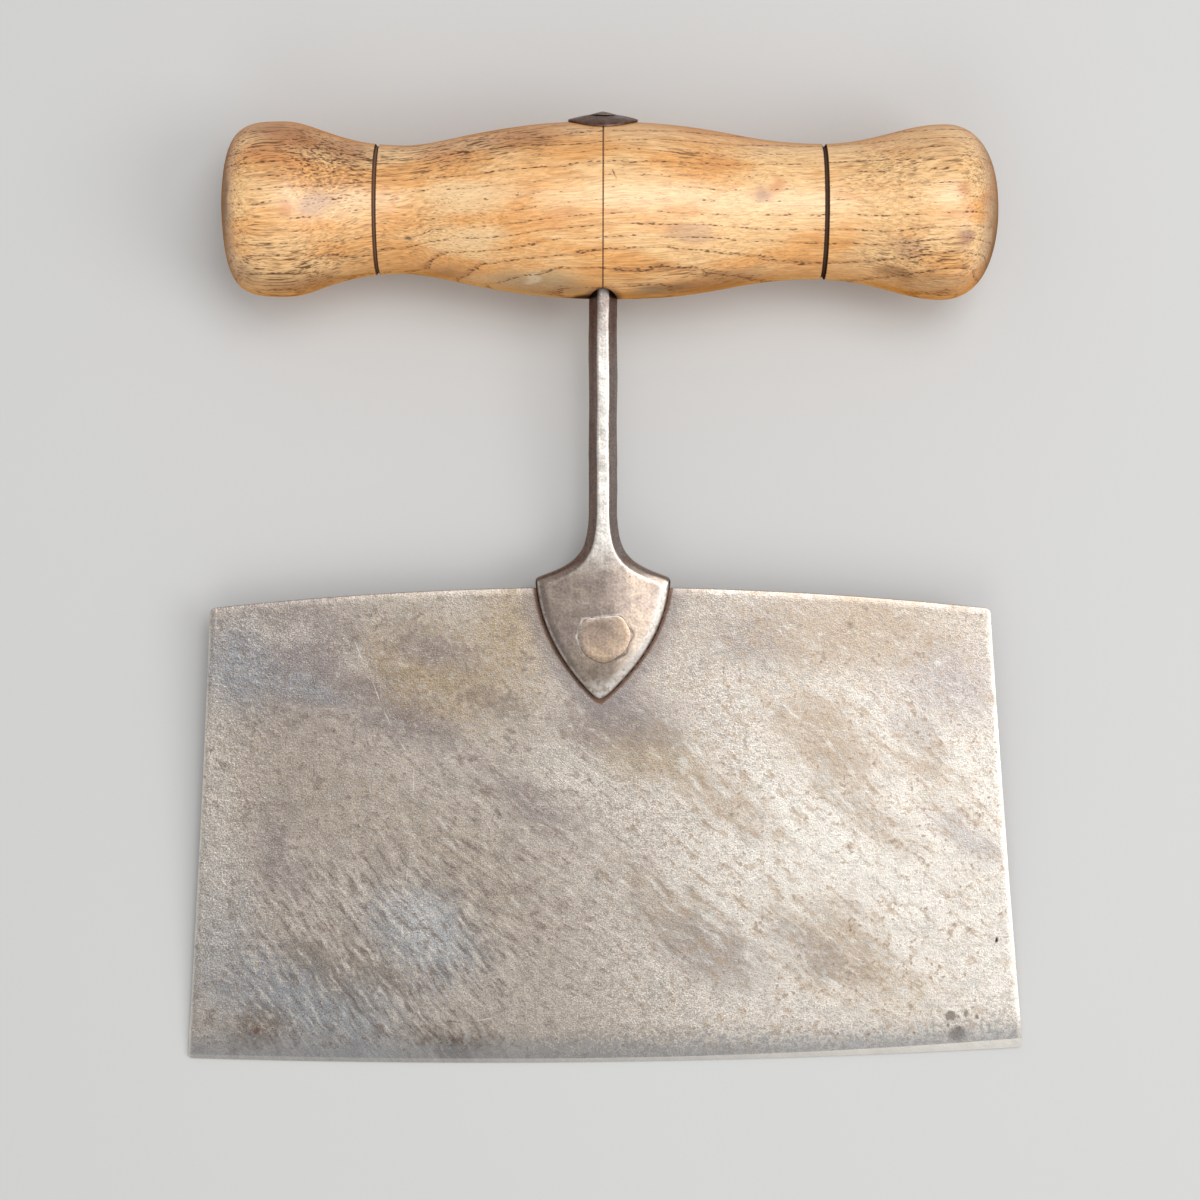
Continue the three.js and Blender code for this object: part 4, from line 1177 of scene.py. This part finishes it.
# wear, painted highlights and painted shade of the palm and the rivet: bands in mm in from an outline, and
# degrees round the rivet
wear = {
    "front": 0.8,  # height above which a point is on the front
    "side": 0.25,  # share of the palm's outline that one slanting side takes
    "right": {"outer": (0.4, 0.8), "inner": (2.8, 1.4)},
    "left": {"outer": (0.3, 0.5), "inner": (1.0, 0.7), "share": 0.5},
    "tip": {"outer": (0.4, 0.8), "inner": (5.5, 2.5), "share": 0.9},  # the inner band is round the tip
    "outline": (0.5, 0.25),
    "rivetRubbed": {"off": -0.1, "band": (0.3, 0.1), "turn": 130, "spread": (95, 60), "share": 0.75},
    "rivetCrack": {"off": 0.15, "band": (0.4, 0.1), "turn": -22, "spread": (62, 40), "share": 0.7},
    "rivetSteps": 40,
}


def palmSide(sign, steps):
    tip = Vector((*forging["tip"], 0))
    corner = Vector((sign * forging["palmHalf"], forging["shoulder"], 0))
    control = Vector((sign * forging["sideControl"][0], forging["sideControl"][1], 0))
    side = interpolate_bezier(tip, tip.lerp(control, 2 / 3), corner.lerp(control, 2 / 3), corner, steps)
    neck = Vector((sign * forging["half"], forging["neck"], 0))
    first, second = [Vector((sign * x, y, 0)) for x, y in forging["flareControls"]]
    return side, interpolate_bezier(corner, first, second, neck, steps)


def palmOutline():
    steps = forging["outlineSteps"]
    right, left = [side + flare for side, flare in (palmSide(1, steps), palmSide(-1, steps))]
    return right + left[::-1]


def forgingSide(sign):
    side, flare = palmSide(sign, forging["curveSteps"])
    clear = forging["clear"]
    tip, corner, neck = side[0], side[-1], flare[-1]
    points = [point for point in side if min((point - tip).length, (point - corner).length) > clear]
    points.append(corner)
    points += [point for point in flare[:-1] if (point - corner).length > clear]
    steps, wobble = forging["shankSteps"], forging["wobble"]
    for k in range(steps + 1):
        y = neck.y + (forging["top"] - neck.y) * k / steps
        bulge = wobble["depth"] * math.sin(wobble["turn"] * y + sign) * min(k / wobble["start"], 1)
        points.append(Vector((sign * (forging["half"] + bulge), y, 0)))
    return points


def prismAcross(name, profile, halfWidth):
    piece = drawnLoop(name, [Vector((-halfWidth, y, z)) for y, z in profile])
    bpy.ops.mesh.select_all(action="SELECT")
    raiseSelected(Vector((2 * halfWidth, 0, 0)))
    faceOutwards()
    return piece


def rivetCorners(height):
    x, y = rivet["at"]
    points = []
    for degrees, reach in rivet["corners"]:
        angle = math.radians(degrees)
        points.append(Vector((x + reach * math.cos(angle), y + reach * math.sin(angle), height)))
    return points


def rivetRound(name, low):
    piece = drawnLoop(name, rivetCorners(low))
    bpy.ops.mesh.select_all(action="SELECT")
    bpy.ops.mesh.bevel(offset=rivet["cornerRound"], segments=6, affect="VERTICES")
    pick(piece, "EDGE", lambda edge: edge.calc_length() > rivet["longEdge"])
    bpy.ops.mesh.subdivide(number_cuts=rivet["edgeCuts"])
    return piece


def ramp(value, start, stop):
    return min(max((value - start) / (stop - start), 0), 1)


def markWear(piece):
    # edges rubbed bright and painted highlights along the palm's sides, its tip and the rivet's upper left;
    # dirt and painted shade in the crevices at the outline and at the rivet's lower right, where its rim has
    # lifted
    corners = rivetCorners(0)
    steps = wear["rivetSteps"]
    rivetOutline = [here.lerp(there, k / steps) for here, there in zip(corners, corners[1:] + corners[:1])
                    for k in range(steps)]
    toPalm, toRivet = outlineGap(palmOutline()), outlineGap(rivetOutline)

    def onRim(place, rim):
        angle = math.degrees(math.atan2(place.y - rivet["at"][1], place.x - rivet["at"][0]))
        turn = abs((angle - rim["turn"] + 180) % 360 - 180)
        gap = abs(toRivet(place)[0] - rim["off"])
        return ramp(gap, *rim["band"]) * ramp(turn, *rim["spread"]) * rim["share"]

    def rubbed(place):
        if place.z < wear["front"]:
            return 0
        gap, around = toPalm(place)
        tipGap = math.dist(place.xy, forging["tip"])
        right, left, tip = wear["right"], wear["left"], wear["tip"]
        onRight = ramp(-gap, *right["outer"]) * ramp(-gap, *right["inner"]) * (around < wear["side"])
        onLeft = ramp(-gap, *left["outer"]) * ramp(-gap, *left["inner"]) * (around > 1 - wear["side"])
        onTip = ramp(-gap, *tip["outer"]) * ramp(tipGap, *tip["inner"]) * tip["share"]
        return max(onRight, onLeft * left["share"], onTip, onRim(place, wear["rivetRubbed"]))

    def crevice(place):
        if place.z < wear["front"]:
            return 0
        gap, around = toPalm(place)
        onSide = around < wear["side"] or around > 1 - wear["side"]
        return max(ramp(-gap, *wear["outline"]) * onSide, onRim(place, wear["rivetCrack"]))

    markPoints(piece, {"rubbed": rubbed, "crevice": crevice})


def forgeShank():
    half, chamfer = forging["half"], forging["chamfer"]
    tip = Vector((*forging["tip"], 0))
    outline = [tip] + forgingSide(1) + forgingSide(-1)[::-1]
    wall = Vector((0, 0, half - chamfer))
    piece = drawnLoop("forged_shank", [point - wall for point in outline])
    bpy.ops.mesh.select_all(action="SELECT")
    raiseSelected(wall * 2)
    faceOutwards()
    for side in (1, -1):
        pick(piece, "FACE", lambda face: face.normal.z * side > 0.9)
        for step in range(2):
            bpy.ops.mesh.inset(thickness=chamfer * 0.5, depth=chamfer * 0.5)
    corners = [(tip, forging["tipRound"])]
    corners += [(Vector((sign * forging["palmHalf"], forging["shoulder"], 0)), forging["shoulderRound"])
                for sign in (1, -1)]
    near = forging["clear"] * 0.9
    for corner, reach in corners:
        pick(piece, "EDGE",
             lambda edge: max((vertex.co.xy - corner.xy).length for vertex in edge.verts) < near)
        bpy.ops.mesh.bevel(offset=reach, segments=5, affect="EDGES")

    def pillowPalm(place):
        # over the palm the chamfer swells: a steep narrow wall, then a wide shallow slope to the face
        share = min(max((forging["pillowTop"] - place.y) / forging["pillowFade"], 0), 1)
        level = round((place.z - half + chamfer) / (chamfer / 2)) if place.z > 0 else 2
        rise = (*forging["pillow"], 0)[level] * share
        spread = 1 + (forging["pillowSpread"] * share if level == 1 else 0)
        middle = Vector(forging["pillowMiddle"])
        moved = middle + (place - middle) * spread
        return Vector((moved.x, moved.y, place.z + rise))

    nudge(piece, pillowPalm)
    bpy.ops.mesh.select_all(action="SELECT")
    bpy.ops.mesh.quads_convert_to_tris()
    # pocket for the blade and the heel that rises from its back to the shank's
    seat, top, plate = forging["spineSeat"], forging["heelTop"], blade["thickness"]
    heel, cutters = forging["heel"], forging["cutters"]
    rise = interpolate_bezier(Vector((seat, -plate, 0)), Vector((seat + heel["leave"], -plate, 0)),
                              Vector((top - heel["settle"], -half + heel["lift"], 0)),
                              Vector((top, -half - heel["past"], 0)), heel["steps"])
    pocket = [(cutters["low"], 0), (seat, 0)] + [(point.x, point.y) for point in rise]
    pocket += [(top, cutters["back"]), (cutters["low"], cutters["back"])]
    cutWith(piece, prismAcross("blade_pocket", pocket, cutters["halfWidth"]))
    slopeStart, tipHeight = forging["slopeStart"], forging["tip"][1]
    low = tipHeight - forging["tipPast"]
    slope = (half - forging["tipThickness"]) / (slopeStart - tipHeight)
    sunk = half - slope * (slopeStart - low)
    wedge = [(slopeStart, half + forging["slopeGap"]), (low, sunk), (low, cutters["front"]),
             (slopeStart, cutters["front"])]
    cutWith(piece, prismAcross("tip_slope", wedge, cutters["halfWidth"]))
    # tang through the handle, hammered over the rove
    headSeat = bench["reach"] + handle["stops"][2]["radius"] + rove["thickness"] - rove["sink"]
    head, tang = rove["head"], forging["tang"]
    foot, brim = forging["top"] - forging["tangLap"], headSeat + rove["headRim"]
    profile = [(0, foot), (tang, foot), (tang, headSeat), (head, headSeat), (head, brim)]
    profile += [(head * (1 - share), brim + rove["headRise"] * share) for share in rove["headSteps"]]
    profile.append((0, profile[-1][1] + rove["headTip"]))
    stem = spunAboutShank("tang", profile, forging["tangSteps"])
    selectOnly(stem, piece)
    bpy.ops.object.join()
    shapeWith(piece, "REMESH", mode="VOXEL", voxel_size=forging["voxel"])
    shapeWith(piece, "SMOOTH", factor=0.5, iterations=forging["soften"])
    bpy.ops.object.mode_set(mode="EDIT")

    def crownPalm(place):
        share = min(max((forging["neck"] - place.y) / forging["crownFade"], 0), 1) if place.z > 1 else 0
        return place - Vector((0, 0, forging["crown"] * share * (place.x / forging["palmHalf"]) ** 2))

    nudge(piece, crownPalm)
    size, depth = forging["hammer"]
    shapeWith(piece, "DISPLACE", texture=clouds("hammer marks", size), strength=depth)
    return piece


def dressRivet():
    low, rim = rivet["low"], rivet["rim"]
    piece = rivetRound("dressed_rivet", low)
    pick(piece, "FACE", lambda face: True)
    drop = rim * sum(depth for width, depth in rivet["rimSteps"])
    raiseSelected(Vector((0, 0, forging["half"] + rivet["proud"] - drop - low)))
    faceOutwards()
    pick(piece, "FACE", lambda face: face.normal.z > 0.9)
    for width, depth in rivet["rimSteps"]:
        bpy.ops.mesh.inset(thickness=rim * width, depth=rim * depth)
    bpy.ops.mesh.inset(thickness=rivet["dishRim"], depth=-rivet["dish"])
    bpy.ops.mesh.poke()

    def raiseLip(place):
        spoke = Vector((place.x - rivet["at"][0], place.y - rivet["at"][1]))
        share = max(spoke.length / rivet["radius"] - rivet["lipStart"], 0) / (1 - rivet["lipStart"])
        turn = math.cos(math.atan2(spoke.y, spoke.x) - rivet["lipTurn"])
        lifted = rivet["lip"] * min(share, 1) * max(turn, 0) if place.z > rivet["lipHeight"] else 0
        return place + Vector((0, 0, lifted))

    nudge(piece, raiseLip)
    # shank through the blade and the tail dressed flush with its back
    back, shank, tail, top = -blade["thickness"], rivet["shank"], rivet["tail"], rivet["stemTop"]
    (inward, upward), (rimProud, proud) = rivet["tailRim"], rivet["tailProud"]
    stem = [(0, top), (shank, top), (shank, back + rivet["tailDepth"]), (tail, back + upward),
            (tail - inward, back - rimProud), (rivet["tailFlat"], back - proud), (0, back - proud)]
    points = [Vector((radius, 0, height)) for radius, height in stem]
    through = startVertex("rivet_tail", points[0])
    drawThrough(points)
    spinRound(rivet["stemSteps"], (0, 0, 1), (0, 0, 0))
    bpy.ops.transform.translate(value=(*rivet["at"], 0))
    selectOnly(through, piece)
    bpy.ops.object.join()
    return piece


# Rove: a low conical washer bent over the handle, under the hammered end of the tang.
rove = {
    "radius": 6.75,
    "hole": 2.45,
    "rim": 0.35,
    "thickness": 1.3,
    "crown": 0.1,
    "gap": 0.02,  # mm clear of the handle
    "sink": 0.3,  # mm that the tang's head sinks into it
    "head": 3.3,
    "headRim": 0.15,
    "headRise": 0.85,
    "headSteps": (0.33, 0.66, 0.88),
    "headTip": 0.05,
    "rings": 6,
    "steps": 72,
    "edge": 0.12,
    "dents": (2.6, 0.1),  # size and depth
}


def bendRove():
    bend = handle["stops"][2]["radius"]
    base = bench["reach"] + bend + rove["gap"]
    under, over = [], []
    for k in range(rove["rings"] + 1):
        share = k / rove["rings"]
        reach = rove["radius"] + (rove["hole"] - rove["radius"]) * share
        bulge = 4 * rove["crown"] * share * (1 - share)
        rise = rove["rim"] + (rove["thickness"] - rove["rim"]) * share + bulge
        under.insert(0, (reach, base))
        over.append((reach, base + rise))
    piece = spunAboutShank("hammered_rove", under + over + under[:1], rove["steps"])

    def drape(place):
        return Vector((place.x, place.y - bend + math.sqrt(bend ** 2 - place.z ** 2), place.z))

    nudge(piece, drape)
    faceOutwards()
    shapeWith(piece, "BEVEL", width=rove["edge"], segments=2, limit_method="ANGLE")
    size, depth = rove["dents"]
    shapeWith(piece, "DISPLACE", texture=clouds("rove dents", size), strength=depth)
    return piece


turnedHandle = turnHandle()
layOnTable(turnedHandle, "handle", waxedAsh(), smoothAngle=40)
wornBlade = cutBlade()
markGaps(wornBlade, palmOutline())
layOnTable(wornBlade, "blade", wornSteel(), smoothAngle=30)
forgedShank = forgeShank()
markWear(forgedShank)
shankIron = forgedIron("forged iron", faceLift=1.0, faceTone="flat")
layOnTable(forgedShank, "tang_shank", shankIron, smoothAngle=60)
dressedRivet = dressRivet()
markWear(dressedRivet)
rivetIron = forgedIron("dressed rivet iron", faceLift=1.0, faceTone="rivet")
layOnTable(dressedRivet, "palm_rivet", rivetIron, smoothAngle=40)
hammeredRove = bendRove()
roveIron = forgedIron("hammered rove iron", faceLift=0.1, faceTone="flat")
layOnTable(hammeredRove, "tang_rove", roveIron, smoothAngle=40)

# Pale table, and studio light from a softbox overhead, another at the right and a weak fill in front.
studio = {
    "floor": "#d0d0cf",
    "floorSize": 4.0,
    "floorDrop": 0.00002,  # metres that it is kept clear of the part
    "sky": 0.49,  # light from all round
    "backdrop": 0.6,  # what the camera and polished metal see of it
    "boxes": [
        {"name": "overhead_softbox", "at": (0.22, 0.3, 1.15), "aim": (0.0, 0.0, 0.0), "size": 0.55,
         "power": 5.3},
        {"name": "front_fill", "at": (-0.05, -0.6, 0.8), "aim": (0.0, 0.03, 0.0), "size": 0.5, "power": 1.0,
         "mirrored": False},
        {"name": "right_softbox", "at": (0.68, -0.12, 0.82), "aim": (0.0, -0.02, 0.0), "size": 0.55,
         "power": 2.7},
    ],
    "cameraAt": (-0.00102, -0.00103, 0.575),
    "lens": 86.57,
}


def dressStudio():
    scene = bpy.context.scene
    bpy.ops.object.select_all(action="DESELECT")
    bpy.ops.mesh.primitive_plane_add(size=studio["floorSize"], location=(0, 0, -studio["floorDrop"]))
    floor = bpy.context.object
    floor.name = "table"
    finish, surface, add = newFinish("matt table paint")
    place = add("TexCoord", {}).outputs["Object"]
    cloud = add("TexNoise", {"Vector": place, "Scale": 9.0, "Detail": 2.0})
    shade = add("MapRange", {"Value": cloud, "To Min": 0.985, "To Max": 1.015})
    colour = add("MixRGB", {"Fac": 1.0, "Color1": linear(studio["floor"]), "Color2": shade},
                 blend_type="MULTIPLY")
    wire(surface, {"Base Color": colour, "Roughness": 0.7})
    floor.data.materials.append(finish)
    world = bpy.data.worlds.new("studio")
    world.use_nodes = True
    scene.world = world
    add = partial(addNode, world.node_tree)
    path = add("LightPath", {})
    seen = add("Math", {0: path.outputs["Is Camera Ray"], 1: path.outputs["Is Glossy Ray"]},
               operation="MAXIMUM")
    seen = add("Math", {0: seen, 1: path.outputs["Is Transmission Ray"]}, operation="MAXIMUM")
    level = add("MapRange", {"Value": seen, "To Min": studio["sky"], "To Max": studio["backdrop"]})
    wire(world.node_tree.nodes["Background"], {"Color": (1, 1, 1, 1), "Strength": level})
    for box in studio["boxes"]:
        bpy.ops.object.light_add(type="AREA", location=box["at"])
        lamp = bpy.context.object
        lamp.name = box["name"]
        lamp.data.size = box["size"]
        lamp.data.energy = box["power"]
        lamp.rotation_euler = (Vector(box["aim"]) - Vector(box["at"])).to_track_quat("-Z", "Y").to_euler()
        lamp.visible_camera = False
        lamp.visible_glossy = box.get("mirrored", True)
    bpy.ops.object.camera_add(location=studio["cameraAt"], rotation=(0, 0, 0))
    camera = bpy.context.object
    camera.data.lens = studio["lens"]
    camera.data.sensor_width = 36
    camera.data.clip_start = 0.01
    scene.camera = camera
    scene.view_settings.view_transform = "Standard"


dressStudio()
print("studio dressed")
